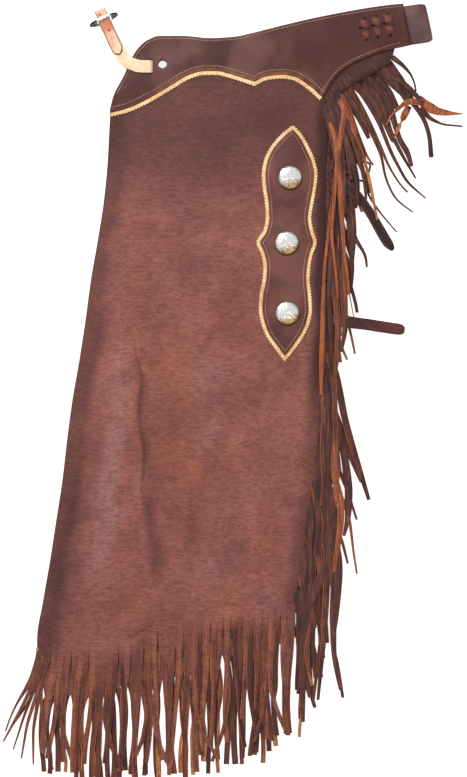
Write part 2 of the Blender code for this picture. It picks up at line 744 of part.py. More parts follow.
def hem_spots(edge, rows, first, last, pitch, top, rests, rng):
    shift_x, shift_y = fall(rows)
    count = round((last - first) / pitch)
    pitch = (last - first) / count
    spots = []
    for k in range(count):
        middle = first + pitch * (k + 0.5)
        half = HEM_STRAND / 2
        ends = [(x, edge(x) - 2 * GAP) for x in (middle - half, middle + half)]
        sway = rng.uniform(-2.6, 2.6)
        spots.append({
            "ends": ends,
            "out": (0.0, -1.0),
            "top": top,
            "shift": (shift_x(middle) + sway, shift_y(middle) + rng.uniform(-14, 10)),
            "bow": rng.uniform(-2.0, 2.0),
            "rest": rests[k % len(rests)],
            "drop": HEM_LANDING,
            "wide": HEM_STRAND * rng.uniform(0.86, 1.0),
            "slant": rng.uniform(-2.5, 2.5)})
    return spots


def side_spots(edge, first, last, pitch, top, rests, clear_of, rng, stretch=1.0):
    shift_x, shift_y = fall(SIDE_FALL)
    spots = []
    y = first
    k = 0
    while y > last:
        if not any(low < y < high for low, high in clear_of):
            ends = [(edge(v) + 1.5 * GAP, v) for v in (y + SIDE_STRAND / 2,
                                                       y - SIDE_STRAND / 2)]
            run = Vector(ends[1]) - Vector(ends[0])
            out = Vector((-run.y, run.x)).normalized()
            out = (out + Vector((0, -0.55))).normalized()
            spots.append({
                "ends": ends,
                "out": tuple(out),
                "top": top,
                "shift": (shift_x(y) * stretch + rng.uniform(-2.5, 2.5),
                          shift_y(y) + rng.uniform(-12, 12)),
                "bow": rng.uniform(-2.5, 3.5),
                "rest": rests[k % len(rests)],
                "drop": SIDE_LANDING,
                "wide": SIDE_STRAND * rng.uniform(0.8, 0.95),
                "slant": rng.uniform(-2.5, 2.5)})
            k += 1
        y -= pitch * mix(0.55, 1.0, smooth((400 - y) / 60))
    return spots


NEAR_RESTS = (6.1, 4.2)
FAR_HEM_REST = (1.5,)
NEAR_SIDE_RESTS = (7.3, 5.4)
FAR_SIDE_RESTS = (3.4, 1.5)
NEAR_STRIP_TOP = 9.3
SIDE_STRIP_TOP = 9.9
FAR_SIDE_STRIP_TOP = 4.8
FAR_HEM_STRIP_TOP = 2.6
KEPT_CLEAR = [(268, 328), (88, 122)]   # along the near side, for the leg straps


def all_fringe():
    rng = random.Random(11)
    fringe("hem_fringe", hem_spots(panel_hem_line, NEAR_HEM_FALL, -250, 80, NEAR_HEM_PITCH,
                                   NEAR_STRIP_TOP, NEAR_RESTS, rng))
    fringe("under_hem_fringe", hem_spots(lambda x: layers_hem_line(x) - GAP, FAR_HEM_FALL, -241, 82,
                                         FAR_HEM_PITCH, FAR_HEM_STRIP_TOP, FAR_HEM_REST, rng))
    fringe("side_fringe", side_spots(panel_side_line, 438, -262, NEAR_SIDE_PITCH,
                                     SIDE_STRIP_TOP, NEAR_SIDE_RESTS, KEPT_CLEAR, rng))
    fringe("under_side_fringe", side_spots(layers_side_line, 396, -268, FAR_SIDE_PITCH,
                                           FAR_SIDE_STRIP_TOP, FAR_SIDE_RESTS, [], rng, 0.85))


# Straps and buckles

FRONT_HEADING = 114.0


def over_yoke(x, y):
    """Mid height of the front strap where it lies across the yoke's slope."""
    return max(yoke_top(x, y + step) for step in (-8, 0, 8)) + STRAP_THICK / 2 + 1.5 * GAP


def front_strap():
    """Up out of the yoke's slot, over its edge and down to the buckle."""
    rows = [(-104.6, 428, yoke_top(-104.6, 428) - 1.3, 180, 15.6),
            (-108.2, 428, over_yoke(-108.2, 428) + 0.4, 180, 15.8),
            (-113, 428, over_yoke(-113, 428), 178, 16),
            (-121, 428.4, over_yoke(-121, 428), 172, 16),
            (-130, 431, 14.8, 158, 16), (-137, 435.3, 13.4, 142, 16),
            (-143.5, 442, 10.9, 128, 16), (-150, 452, 7.8, 118, 16), (-156, 464, 5.5, 115, 16),
            (-161, 475, 5.5, 114, 16), (-165, 483.5, 7.4, 114, 16), (-168, 490, 9.1, 114, 16),
            (-169.7, 494, 9.5, 114, 16)]
    return ribbon("front_strap", rows, STRAP_THICK, "tan_leather")


def front_billet():
    """From the far yoke along the surface, up through the buckle and back to its tip."""
    rows = [(-133.2, 434.8, 1.4, 155, 14), (-142, 441.5, 1.4, 133, 14),
            (-150, 455, 1.4, 118, 14), (-157, 469, 1.4, 114, 14), (-161, 477.5, 2.8, 114, 14),
            (-164.5, 484.5, 5.3, 114, 14), (-167.5, 490, 6.3, 114, 14),
            (-170.2, 496, 6.8, 114, 14), (-172.6, 500.6, 8.0, 114, 14),
            (-173.5, 502.8, 10.0, 114, 14), (-172.6, 500.8, 12.0, 114, 14),
            (-170.2, 496, 12.9, 114, 14), (-168, 490.6, 12.5, 114, 14),
            (-164.8, 483.4, 10.6, 114, 14), (-160.8, 474.6, 8.6, 114, 14),
            (-156, 464, 8.5, 115, 14), (-152.6, 457, 9.6, 117, 13.4),
            (-150.4, 452.6, 10.8, 118, 10), (-149.2, 450.2, 11.6, 118, 5)]
    return ribbon("front_billet", rows, STRAP_THICK, "tan_leather")


def ellipse(rx, ry, count, at=(0.0, 0.0)):
    turns = [2 * math.pi * k / count for k in range(count)]
    return [(at[0] + rx * math.cos(a), at[1] + ry * math.sin(a)) for a in turns]


def front_buckle():
    """A nickel frame with two pierced ears, standing across the strap."""
    frame = ellipse(20.0, 9.2, 28)
    slot = [(-9.3, -5.5), (9.3, -5.5), (9.3, 5.5), (-9.3, 5.5)]
    ears = [ellipse(1.7, 1.7, 8, (side * 14.0, 0.0)) for side in (-1, 1)]
    made = flat_solid("front_buckle", [frame, slot] + ears, 0, 2.4, "nickel")
    across = math.radians(FRONT_HEADING - 90)
    made.location = (-168.0 * MM, 489.6 * MM, 9.6 * MM)
    made.rotation_euler = (Matrix.Rotation(across, 3, "Z")
                           @ Matrix.Rotation(math.radians(76), 3, "X")).to_euler()
    return made


def leg_straps():
    upper = [(132, 284.5, 10.0, -36), (141, 278, 10.0, -38), (152, 269.5, 10.0, -40),
             (164, 258, 10.0, -50), (174, 245, 9.9, -58), (184, 229, 9.5, -61),
             (194, 212, 6.4, -59), (201, 201, 3.8, -56), (205.5, 195, 2.6, -54),
             (208.5, 191, 2.2, -52)]
    widths = [15, 16, 16, 16, 16, 16, 15.6, 14, 10, 4.5]
    rows = [(*row, w) for row, w in zip(upper, widths)]
    ribbon("leg_strap_upper", rows, STRAP_THICK, "strap_leather")
    lower = [(124, 100, 9.8, -4), (140, 98.5, 9.8, -6), (156, 95.5, 9.8, -7),
             (172, 92.5, 9.2, -7), (188, 90, 6.6, -6), (204, 87.6, 3.2, -5),
             (214, 86.2, 1.8, -5), (219, 85.6, 1.6, -5), (224, 85, 1.6, -5)]
    widths = [15.5, 15.5, 15, 14.5, 14, 13.5, 13, 11, 4.5]
    rows = [(*row, w) for row, w in zip(lower, widths)]
    ribbon("leg_strap_lower", rows, STRAP_THICK, "strap_leather")
    chape = [(129, 303.5, 9.8, -12), (142, 300, 9.8, -14), (155, 296.5, 9.8, -14)]
    ribbon("leg_chape_upper", chape, STRAP_THICK, "strap_leather", 15)


def leg_buckle():
    """A plain wire frame with rounded corners, flat beside the upper strap."""
    long, wide, corner = 25.0, 19.0, 4.0
    wire = 1.4
    line = bpy.data.curves.new("leg_buckle_upper", "CURVE")
    line.dimensions = "3D"
    line.bevel_depth = wire * MM
    line.bevel_resolution = 1
    path = line.splines.new("POLY")
    points = []
    for turn, (sx, sy) in zip((0, 90, 180, 270), ((1, 1), (-1, 1), (-1, -1), (1, -1))):
        for step in (0, 45, 90):
            a = math.radians(turn + step)
            points.append((sx * (wide / 2 - corner) + corner * math.cos(a),
                           sy * (long / 2 - corner) + corner * math.sin(a)))
    path.points.add(len(points) - 1)
    for point, (x, y) in zip(path.points, points):
        point.co = (x * MM, y * MM, 0, 1)
    path.use_cyclic_u = True
    line.materials.append(leather("black_metal"))
    made = bpy.data.objects.new("leg_buckle_upper", line)
    made.location = (167.2 * MM, 293.2 * MM, 10.1 * MM)
    made.rotation_euler = (0, 0, math.radians(-14))
    garment.objects.link(made)
    return made


def to_origin():
    """Moves the solids and their cutters until the part's middle is over the origin."""
    for thing in list(garment.objects) + list(cutters.objects):
        thing.location -= Vector((*BOX_MIDDLE, 0.0)) * MM


clear_scene()
garment = new_collection("leather_chaps")
cutters = new_collection("cutters")
leg_panel()
under_layers()
yoke()
far_yoke()
yoke_trim()
belt_back()
for number, (lace_x, lace_y) in enumerate([(171, 477), (187, 480), (202.5, 483)], start=1):
    lacing(f"lacing_{number}", lace_x, lace_y, BELT_TILT - 4)
side_panel()
all_fringe()
front_strap()
front_billet()
front_buckle()
leg_straps()
leg_buckle()
to_origin()
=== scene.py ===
# %% [markdown]
# # Fringed leather chaps, folded in half and laid flat
# The real object is a pair of short western chaps. It is folded at the centre back, so one leg
# lies on the other, and it is seen from straight above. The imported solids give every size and
# place. This script dresses them: leather with grain, creases and worn edges, rows of stitches,
# hammered buttons and a dense fringe. Tables are in millimetres, and where a comment says so in
# picture points of 1.3 mm.

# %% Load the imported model
import math
import random

import bmesh
import bpy
import numpy as np
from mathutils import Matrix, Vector, noise


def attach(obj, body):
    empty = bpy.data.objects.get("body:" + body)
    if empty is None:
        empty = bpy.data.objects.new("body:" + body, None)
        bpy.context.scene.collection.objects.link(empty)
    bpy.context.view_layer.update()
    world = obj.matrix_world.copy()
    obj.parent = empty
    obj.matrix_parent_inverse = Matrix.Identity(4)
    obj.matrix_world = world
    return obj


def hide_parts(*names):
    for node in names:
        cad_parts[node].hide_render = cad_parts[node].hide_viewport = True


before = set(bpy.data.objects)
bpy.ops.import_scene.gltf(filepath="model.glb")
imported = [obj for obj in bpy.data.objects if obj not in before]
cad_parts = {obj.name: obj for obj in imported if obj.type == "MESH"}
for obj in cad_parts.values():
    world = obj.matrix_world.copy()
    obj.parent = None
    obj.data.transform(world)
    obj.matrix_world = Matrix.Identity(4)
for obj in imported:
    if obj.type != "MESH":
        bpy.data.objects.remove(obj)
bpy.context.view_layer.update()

MM = 0.001
SHIFT = np.array([0.635, 4.46, 0.0])     # from the tables' measure to the model's middle


# %% [markdown]
# ## Numbers and curves
# Leather edges are smooth but uneven. A short table of measured places and one curve that runs
# through them, without swinging past them, gives any edge at any density. The functions take
# whole arrays, so a panel of thirty thousand points is worked out at once.

# %% Curves through tables
def mix(low, high, share):
    return low + (high - low) * share


def smooth(value):
    value = np.clip(value, 0.0, 1.0)
    return value * value * (3 - 2 * value)


def through(rows, value=1):
    """A smooth function of column 0 through one other column."""
    table = np.array(sorted(rows), float)
    at, level = table[:, 0], table[:, value]
    rise = np.diff(level) / np.diff(at)
    slope = np.zeros_like(level)
    slope[0], slope[-1] = rise[0], rise[-1]
    for k in range(1, len(level) - 1):
        if rise[k - 1] * rise[k] > 0:
            slope[k] = 2 * rise[k - 1] * rise[k] / (rise[k - 1] + rise[k])

    def curve(place):
        place = np.asarray(place, float)
        i = np.clip(np.searchsorted(at, place, side="right") - 1, 0, len(at) - 2)
        span = at[i + 1] - at[i]
        t = np.clip((place - at[i]) / span, 0, 1)
        inside = (level[i] * (1 + 2 * t) * (1 - t) ** 2 + slope[i] * span * t * (1 - t) ** 2
                  + level[i + 1] * t * t * (3 - 2 * t) + slope[i + 1] * span * t * t * (t - 1))
        return (inside + slope[0] * np.minimum(0, place - at[0])
                + slope[-1] * np.maximum(0, place - at[-1]))
    return curve


def clouds(x, y, size, seed):
    """Soft random values from -1 to 1 whose lumps are about that many millimetres across."""
    lattice = np.random.default_rng(seed).uniform(-1, 1, (64, 64))
    gx, gy = np.asarray(x) / size + 200, np.asarray(y) / size + 200
    ix, iy = np.floor(gx).astype(int), np.floor(gy).astype(int)
    fx, fy = smooth(gx - ix), smooth(gy - iy)
    pick = lambda a, b: lattice[a % 64, b % 64]
    near = mix(pick(ix, iy), pick(ix + 1, iy), fx)
    far = mix(pick(ix, iy + 1), pick(ix + 1, iy + 1), fx)
    return mix(near, far, fy)


def spaced(points, step):
    """Points a step apart along a line of points, with both ends kept."""
    points = np.asarray(points, float)
    runs = np.r_[0, np.cumsum(np.linalg.norm(np.diff(points, axis=0), axis=1))]
    goals = np.linspace(0, runs[-1], max(2, round(runs[-1] / step) + 1))
    return np.stack([np.interp(goals, runs, points[:, k]) for k in range(points.shape[1])], 1)


def sides_of(line):
    """Unit vectors to the right of the way along a line of (x, y) points."""
    way = np.gradient(np.asarray(line, float)[:, :2], axis=0)
    way /= np.maximum(np.linalg.norm(way, axis=1, keepdims=True), 1e-9)
    return np.stack([way[:, 1], -way[:, 0]], 1)


# %% [markdown]
# ## Making meshes
# Every piece of leather here is a thin wall. The easiest honest way to make one is a grid of
# points for its face, the same grid moved in by the thickness, and a rounded rim between them.
# The face, the cut rim and the flesh side get finishes of their own, as on real hide.

# %% Pieces from grids
made_triangles = {}


def into_scene(name, data):
    """A new object in the scene, and the count of its triangles where it is a mesh."""
    made = bpy.data.objects.new(name, data)
    bpy.context.scene.collection.objects.link(made)
    if made.type == "MESH":
        data.calc_loop_triangles()
        made_triangles[name] = len(data.loop_triangles)
    return made


def piece(name, points, faces, finishes, slots=None, values=None):
    """A mesh from points in the tables' millimetres, which rides on the one body."""
    mesh = bpy.data.meshes.new(name)
    mesh.from_pydata(((np.asarray(points, float) + SHIFT) * MM).tolist(), [], faces)
    for finish in finishes:
        mesh.materials.append(finish)
    if slots is not None:
        mesh.polygons.foreach_set("material_index", np.asarray(slots, np.int32))
    for key, numbers in (values or {}).items():
        layer = mesh.attributes.new(key, "FLOAT", "POINT")
        layer.data.foreach_set("value", np.asarray(numbers, np.float32))
    mesh.update()
    mesh.shade_smooth()
    made = into_scene(name, mesh)
    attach(made, "root")
    return made


def border(index):
    """A grid's outer points, once round."""
    return np.r_[index[0], index[1:, -1], index[-1, -2::-1], index[-2:0:-1, 0]]


def quads(index):
    """The four-sided faces of a grid of point numbers."""
    corners = [index[:-1, :-1], index[1:, :-1], index[1:, 1:], index[:-1, 1:]]
    return np.stack(corners, -1).reshape(-1, 4)


def wall(name, face, thick, finishes, values=None, bulge=0.3):
    """A closed wall below a grid of rows that run towards -Y with columns towards +X."""
    face = np.asarray(face, float)
    rows, cols = face.shape[:2]
    down, across = np.gradient(face, axis=0), np.gradient(face, axis=1)
    normal = np.cross(down, across)
    normal /= np.maximum(np.linalg.norm(normal, axis=2, keepdims=True), 1e-9)
    back = face - normal * thick
    index = np.arange(rows * cols).reshape(rows, cols)
    loop = border(index)
    inner = np.r_[index[1], index[1:, -2], index[-2, -2::-1], index[-2:0:-1, 1]]
    flat_face, flat_back = face.reshape(-1, 3), back.reshape(-1, 3)
    middle = (flat_face[loop] + flat_back[loop]) / 2
    out = flat_face[loop] - flat_face[inner]
    out /= np.maximum(np.linalg.norm(out, axis=1, keepdims=True), 1e-9)
    rim = middle + out * thick * bulge
    top = quads(index)
    count = rows * cols
    under = top[:, ::-1] + count
    ring = np.arange(len(loop)) + 2 * count
    next_loop, next_ring = np.roll(loop, -1), np.roll(ring, -1)
    upper_rim = np.stack([loop, next_loop, next_ring, ring], 1)
    lower_rim = np.stack([ring, next_ring, next_loop + count, loop + count], 1)
    faces = np.concatenate([top, under, upper_rim, lower_rim])
    slots = np.r_[np.zeros(len(top)), np.full(len(under), min(2, len(finishes) - 1)),
                  np.full(2 * len(loop), min(1, len(finishes) - 1))]
    points = np.concatenate([flat_face, flat_back, rim])
    if values:
        values = {key: np.r_[v.ravel(), v.ravel(), v.ravel()[loop]] for key, v in values.items()}
    return piece(name, points, faces.tolist(), finishes, slots, values)


def strap(name, rows, thick, finishes, step, crown=0.25):
    """A strap through (x, y, z at mid thickness, heading in degrees, width) rows."""
    table = np.array(rows, float)
    runs = np.r_[0, np.cumsum(np.linalg.norm(np.diff(table[:, :3], axis=0), axis=1))]
    goals = np.linspace(0, runs[-1], max(4, round(runs[-1] / step) + 1))
    smoothed = [through(list(zip(runs, table[:, k])))(goals) for k in range(5)]
    place = np.stack(smoothed[:3], 1)
    heading = np.radians(smoothed[3])
    side = np.stack([-np.sin(heading), np.cos(heading), 0 * heading], 1)
    ahead = np.gradient(place, axis=0)
    out = np.cross(ahead, side)
    out /= np.linalg.norm(out, axis=1, keepdims=True)
    shares = np.array([-1, -0.93, -0.8, -0.45, 0, 0.45, 0.8, 0.93, 1])
    edge = 0.5 - crown * np.abs(shares) ** 6
    grid = (place[:, None, :] + side[:, None, :] * (shares[None, :, None]
                                                    * smoothed[4][:, None, None] / 2)
            + out[:, None, :] * (edge[None, :, None] * thick))
    # 1 at the strap's edges, where the dark strap's finish paints a highlight
    edges = np.broadcast_to(np.abs(shares) ** 4, grid.shape[:2])
    return wall(name, grid, thick * 0.86, finishes, {"wear_and_highlight": edges})


def flat_piece(name, outlines, low, thick, finish, soft=0.2):
    """A flat outline with its holes, cut from a sheet, with slightly rounded edges."""
    line = bpy.data.curves.new(name, "CURVE")
    line.dimensions, line.fill_mode = "2D", "BOTH"
    line.extrude, line.bevel_depth, line.bevel_resolution = (thick / 2 - soft) * MM, soft * MM, 1
    line.offset = -soft * MM
    for outline in outlines:
        path = line.splines.new("POLY")
        path.points.add(len(outline) - 1)
        for spot, (x, y) in zip(path.points, np.asarray(outline)[:, :2]):
            spot.co = ((x + SHIFT[0]) * MM, (y + SHIFT[1]) * MM, 0, 1)
        path.use_cyclic_u = True
    shape = into_scene(name + "_line", line)
    shape.location.z = (low + thick / 2) * MM
    made = solid_copy(shape, name)
    bpy.data.objects.remove(shape)
    made.data.materials.clear()
    made.data.materials.append(finish)
    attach(made, "root")
    return made


def solid_copy(source, name):
    """The finished mesh of an object, welded, as a new object at the origin."""
    bpy.context.view_layer.update()
    deps = bpy.context.evaluated_depsgraph_get()
    mesh = bpy.data.meshes.new_from_object(source.evaluated_get(deps))
    mesh.transform(source.matrix_world)
    bm = bmesh.new()
    bm.from_mesh(mesh)
    bmesh.ops.remove_doubles(bm, verts=bm.verts, dist=0.00001)
    bm.to_mesh(mesh)
    bm.free()
    mesh.name = name
    return into_scene(name, mesh)


# %% [markdown]
# ## Shader sums in Python
# A finish is easier to read as a sum than as a net of nodes. One small class wraps a socket, so
# that `grain * 0.4 + 0.2` adds its own Math nodes. Colours are mixed with Mix nodes, because a
# Math node would turn them grey.

# %% Sockets as numbers
class Wire:
    def __init__(self, finish, socket):
        self.finish, self.socket = finish, socket

    def math(self, operation, first, second):
        settings = {"operation": operation}
        return self.finish.make("ShaderNodeMath", settings, {0: first, 1: second})

    def __add__(self, other):
        return self.math("ADD", self, other)

    def __sub__(self, other):
        return self.math("SUBTRACT", self, other)

    def __rsub__(self, other):
        return self.math("SUBTRACT", other, self)

    def __mul__(self, other):
        return self.math("MULTIPLY", self, other)



class Finish:
    """A material with one Principled shader."""

    def __init__(self, name, **sockets):
        self.material = bpy.data.materials.new(name)
        self.material.use_nodes = True
        self.tree = self.material.node_tree
        self.shader = self.tree.nodes["Principled BSDF"]
        for key, value in sockets.items():
            self.feed(self.shader.inputs[key.replace("_", " ")], value)
        self.place = self.make("ShaderNodeTexCoord", out="Object")

    def feed(self, socket, value):
        if isinstance(value, Wire):
            self.tree.links.new(value.socket, socket)
        else:
            socket.default_value = value

    def make(self, kind, settings=None, sockets=None, out=0):
        node = self.tree.nodes.new(kind)
        for key, value in (settings or {}).items():
            setattr(node, key, value)
        for key, value in (sockets or {}).items():
            self.feed(node.inputs[key], value)
        return Wire(self, node.outputs[out])

    def stretch(self, x, y, z=1.0):
        """The place on the leather, scaled along each axis."""
        return self.make("ShaderNodeVectorMath", {"operation": "MULTIPLY"},
                         {0: self.place, 1: (x, y, z)})

    def cloudy(self, place, size, detail=2.0, rough=0.5, twist=0.0):
        return self.make("ShaderNodeTexNoise", {}, {
            "Vector": place, "Scale": 1000.0 / size, "Detail": detail, "Roughness": rough,
            "Distortion": twist})

    def step(self, value, low, high):
        """From 0 at low to 1 at high, softly."""
        return self.make("ShaderNodeMapRange", {"interpolation_type": "SMOOTHSTEP"},
                         {"Value": value, "From Min": low, "From Max": high})

    def blend(self, share, first, second):
        return self.make("ShaderNodeMix", {"data_type": "RGBA", "clamp_factor": True},
                         {0: share, 6: first, 7: second}, out=2)

    def value(self, name):
        return self.make("ShaderNodeAttribute", {"attribute_name": name}, out="Fac")

    def bump(self, height, reach):
        """Feeds the Normal from a height from 0 to 1 whose full reach is in millimetres."""
        lifted = self.make("ShaderNodeBump", {}, {"Height": height, "Distance": reach * MM})
        self.feed(self.shader.inputs["Normal"], lifted)

    def colour(self, value):
        self.feed(self.shader.inputs["Base Color"], value)

    def roughness(self, value):
        self.feed(self.shader.inputs["Roughness"], value)


def tint(red, green, blue):
    """A screen colour as the linear values that a shader takes."""
    linear = [c / 255 / 12.92 if c <= 10 else ((c / 255 + 0.055) / 1.055) ** 2.4
              for c in (red, green, blue)]
    return (*linear, 1.0)


# %% [markdown]
# ## Leathers
# The legs are oil-tanned hide with a pebbled grain. It was pulled while it was tumbled, so the
# pebbles run together into fine wavy wrinkles that lie mostly across the leg. Oil darkened it in
# clouds, and rubbed places are rust-orange. The wrinkles drive both the relief and the colour,
# because at this size a shadow in each wrinkle is what the eye sees.

# %% Pebbled leg leather
def wrinkles(finish, across, along, size):
    """Wavy wrinkles: 0 in a wrinkle, 1 on the swollen leather between two."""
    fine = finish.cloudy(finish.stretch(across, along), size, 2.0, 0.6, 0.5)
    return finish.step(fine, 0.34, 0.60)


def leg_leather(name, dark, middle, light, rust, grey_and_sheen, depth=0.28, cut=False):
    """The values that come with each mesh give painted shade with some random tone, rust colour,
    and a grey tone that on the bulge by the front edge is a painted sheen.

    Where the leg is cut into strands, each has streaks along it and painted shade on its rims.
    """
    finish = Finish(name, Roughness=0.5, Specular_IOR_Level=0.22)
    lines = wrinkles(finish, 0.34, 1.0, 2.8)
    pebbles = finish.cloudy(finish.place, 1.3, 2.0, 0.6, 0.2)
    broad = finish.cloudy(finish.stretch(0.8, 1.0), 40, 4.0, 0.6, 0.4)
    blots = finish.cloudy(finish.stretch(1.0, 0.8), 14, 3.0, 0.6, 0.3)
    uneven = broad * 0.65 + blots * 0.35
    colour = finish.blend(finish.step(uneven, 0.34, 0.70), middle, light)
    rusty = finish.value("rust") * 1.1 + finish.step(blots, 0.50, 0.8) * 0.30
    colour = finish.blend(rusty * finish.step(broad, 0.30, 0.62), colour, rust)
    # grey tone, and a painted sheen where the leg bulges by the front edge
    colour = finish.blend(finish.value("grey_and_sheen") * finish.step(blots, 0.15, 0.6), colour, grey_and_sheen)
    colour = finish.blend((1 - lines) * 0.46, colour, LEG_WRINKLE)
    colour = finish.blend(finish.step(pebbles, 0.48, 0.70) * 0.36, colour, light)
    colour = finish.blend(finish.step(pebbles, 0.50, 0.28) * 0.28, colour, dark)
    if cut:
        parted = finish.value("parted")
        streaks = finish.cloudy(finish.stretch(1.0, 0.08), 2.8, 2.0, 0.5)
        colour = finish.blend(finish.step(streaks, 0.52, 0.70) * parted * 0.6, colour, rust)
        colour = finish.blend(finish.step(streaks, 0.50, 0.36) * parted * 0.6, colour, dark)
        # painted shade on each strand's rounded rims
        colour = finish.blend(finish.value("rim") * parted * 0.4, colour, dark)
    # painted shade: where the shade value is low the colour goes to the dark one
    colour = finish.blend(finish.value("shade"), dark, colour)
    finish.colour(colour)
    finish.roughness(finish.step(blots, 0.3, 0.7) * 0.14 + 0.44)
    finish.bump(lines * 0.6 + pebbles * 0.4, depth)
    return finish.material


LEG_DARK = tint(62, 34, 32)
LEG_MIDDLE = tint(138, 78, 68)
LEG_LIGHT = tint(168, 104, 92)
LEG_RUST = tint(170, 94, 68)
LEG_GREY_AND_SHEEN = tint(166, 116, 112)
LEG_WRINKLE = tint(84, 42, 42)
leg_finish = leg_leather("pebbled_leg_leather", LEG_DARK, LEG_MIDDLE, LEG_LIGHT, LEG_RUST,
                         LEG_GREY_AND_SHEEN)
cut_leg_finish = leg_leather("cut_leg_leather", LEG_DARK, LEG_MIDDLE, LEG_LIGHT,
                             tint(186, 108, 74), LEG_GREY_AND_SHEEN, cut=True)


# %% [markdown]
# The yoke, the belt and the plate below the buttons are smoother and more heavily oiled. They
# share one recipe with other colours: clouds, a fine tight grain, and a third colour where a value
# on the mesh asks for it. That is real wear on the yoke's cut edges and a lighter spot by its side
# scallop, a painted highlight along the dark strap's edges and on the crown of each lace loop, and
# darker edges on the belt and the brown strap.

# %% Smooth oiled leather
def oiled(name, dark, light, wear_and_highlight, rough=0.5, grain=0.10, dim=(0.03, 0.014, 0.012, 1)):
    finish = Finish(name, Roughness=rough, Specular_IOR_Level=0.2)
    broad = finish.cloudy(finish.place, 55, 3.0, 0.55, 0.5)
    small = finish.cloudy(finish.place, 9, 3.0, 0.6)
    pores = finish.cloudy(finish.place, 1.1, 2.0, 0.6)
    colour = finish.blend(finish.step(broad, 0.36, 0.66), dark, light)
    colour = finish.blend(finish.step(small, 0.5, 0.8) * 0.35, colour, light)
    # third colour: wear on the yoke, a painted highlight on the dark strap and the laces
    colour = finish.blend(finish.value("wear_and_highlight") * finish.step(small, 0.25, 0.6) * 0.7, colour, wear_and_highlight)
    colour = finish.blend(finish.step(pores, 0.62, 0.4) * 0.18, colour, dark)
    colour = finish.blend(finish.value("dim"), colour, dim)
    finish.colour(colour)
    finish.roughness(finish.step(small, 0.3, 0.7) * 0.14 + rough - 0.06)
    finish.bump(pores * 0.7 + small * 0.3, grain)
    return finish.material


yoke_finish = oiled("oiled_yoke", tint(76, 44, 42), tint(110, 70, 66), tint(184, 120, 66),
                    dim=tint(74, 38, 34))
plate_finish = oiled("oiled_plate", tint(90, 52, 48), tint(122, 76, 68), tint(140, 90, 60))
belt_finish = oiled("oiled_belt", tint(92, 68, 67), tint(126, 98, 95), tint(84, 58, 56), 0.46)
# the third colour here is a painted highlight along the strap's edges
strap_finish = oiled("dark_strap", tint(34, 19, 23), tint(62, 37, 39), tint(138, 96, 94), 0.46)
brown_strap_finish = oiled("brown_strap", tint(70, 40, 40), tint(126, 74, 68),
                           tint(50, 27, 30), 0.46)
lace_finish = oiled("lace", tint(78, 38, 34), tint(116, 62, 56), tint(146, 86, 76), 0.5)
# near-black discs stand for the painted shade in the lacing's holes
hole_shade_finish = oiled("painted_hole_shade", tint(28, 15, 14), tint(40, 22, 20), tint(40, 22, 20), 0.8)
print("smooth leathers made")


# %% [markdown]
# A cut edge shows the hide's inside: paler, with fibres across it. The trim and the front tie
# are undyed tan hide, so they need only freckles and slightly darkened hollows.

# %% Cut edges, flesh side and tan leather
def plain_hide(name, dark, light, rough=0.6, fibre=2.2, depth=0.15):
    finish = Finish(name, Roughness=rough, Specular_IOR_Level=0.3)
    fibres = finish.cloudy(finish.place, fibre, 3.0, 0.65)
    broad = finish.cloudy(finish.place, 24, 2.0)
    share = finish.step(fibres * 0.6 + broad * 0.4, 0.34, 0.64)
    finish.colour(finish.blend(share, dark, light))
    finish.bump(fibres, depth)
    return finish.material


edge_finish = plain_hide("cut_edge", tint(120, 66, 44), tint(172, 104, 72))
bevel_finish = plain_hide("golden_cut_edge", tint(140, 84, 44), tint(196, 132, 76))
flesh_finish = plain_hide("flesh_side", tint(150, 96, 66), tint(196, 142, 102), 0.8, 1.6, 0.2)
tan_finish = plain_hide("tan_trim", tint(214, 160, 104), tint(252, 220, 170), 0.5, 3.0, 0.1)
cream_finish = plain_hide("cream_tie", tint(232, 190, 150), tint(252, 224, 190), 0.45, 9.0, 0.05)
# the tie's and billet's cut edges are painted dark, as shade along their outlines
tie_edge_shade_finish = plain_hide("tie_edge_shade", tint(44, 36, 30), tint(96, 78, 60), 0.5)


# %% Fringe leather
def fringe_leather(name, dark, light, rust):
    """Strands differ from each other by their tone, have darker stretches, and painted shade on their
    rims.
    """
    finish = Finish(name, Roughness=0.5, Specular_IOR_Level=0.25)
    tone = finish.value("tone")
    along = finish.cloudy(finish.stretch(1.0, 0.22), 10, 3.0, 0.6, 0.4)
    grain = finish.cloudy(finish.stretch(1.0, 0.5), 1.8, 2.0, 0.6)
    colour = finish.blend(finish.step(along, 0.30, 0.74), dark, light)
    colour = finish.blend(finish.step(tone + (along - 0.5) * 0.6, 0.40, 1.0), colour, rust)
    colour = finish.blend(finish.step(grain, 0.6, 0.35) * 0.35, colour, dark)
    streaks = finish.cloudy(finish.stretch(1.0, 0.09), 2.4, 2.0, 0.5)
    colour = finish.blend(finish.step(streaks, 0.56, 0.40) * 0.5, colour, dark)
    # painted shade on each strand's rounded rims
    colour = finish.blend(finish.value("rim") * 0.45, colour, dark)
    finish.colour(colour)
    finish.bump(grain, 0.18)
    return finish.material


strand_finish = fringe_leather("strand_grain", tint(60, 34, 32), tint(124, 75, 64),
                               tint(196, 108, 64))
slit_finish = plain_hide("slit_edge", tint(46, 25, 19), tint(178, 106, 68), 0.65)


def toned_edge(name, dark, light):
    """Cut edges are as dark as their strand, and show raw fibre only on the paler ones."""
    finish = Finish(name, Roughness=0.65, Specular_IOR_Level=0.2)
    fibre = finish.cloudy(finish.stretch(1.0, 0.15), 6.0, 3.0, 0.65)
    share = finish.step(finish.value("tone") * 0.8 + fibre * 0.6, 0.34, 0.95)
    finish.colour(finish.blend(share, dark, light))
    return finish.material


strand_edge = toned_edge("strand_edge", tint(66, 36, 30), tint(186, 106, 64))
strand_flesh = plain_hide("strand_flesh", tint(132, 74, 46), tint(200, 134, 88), 0.8, 2.4)
print("hides made")


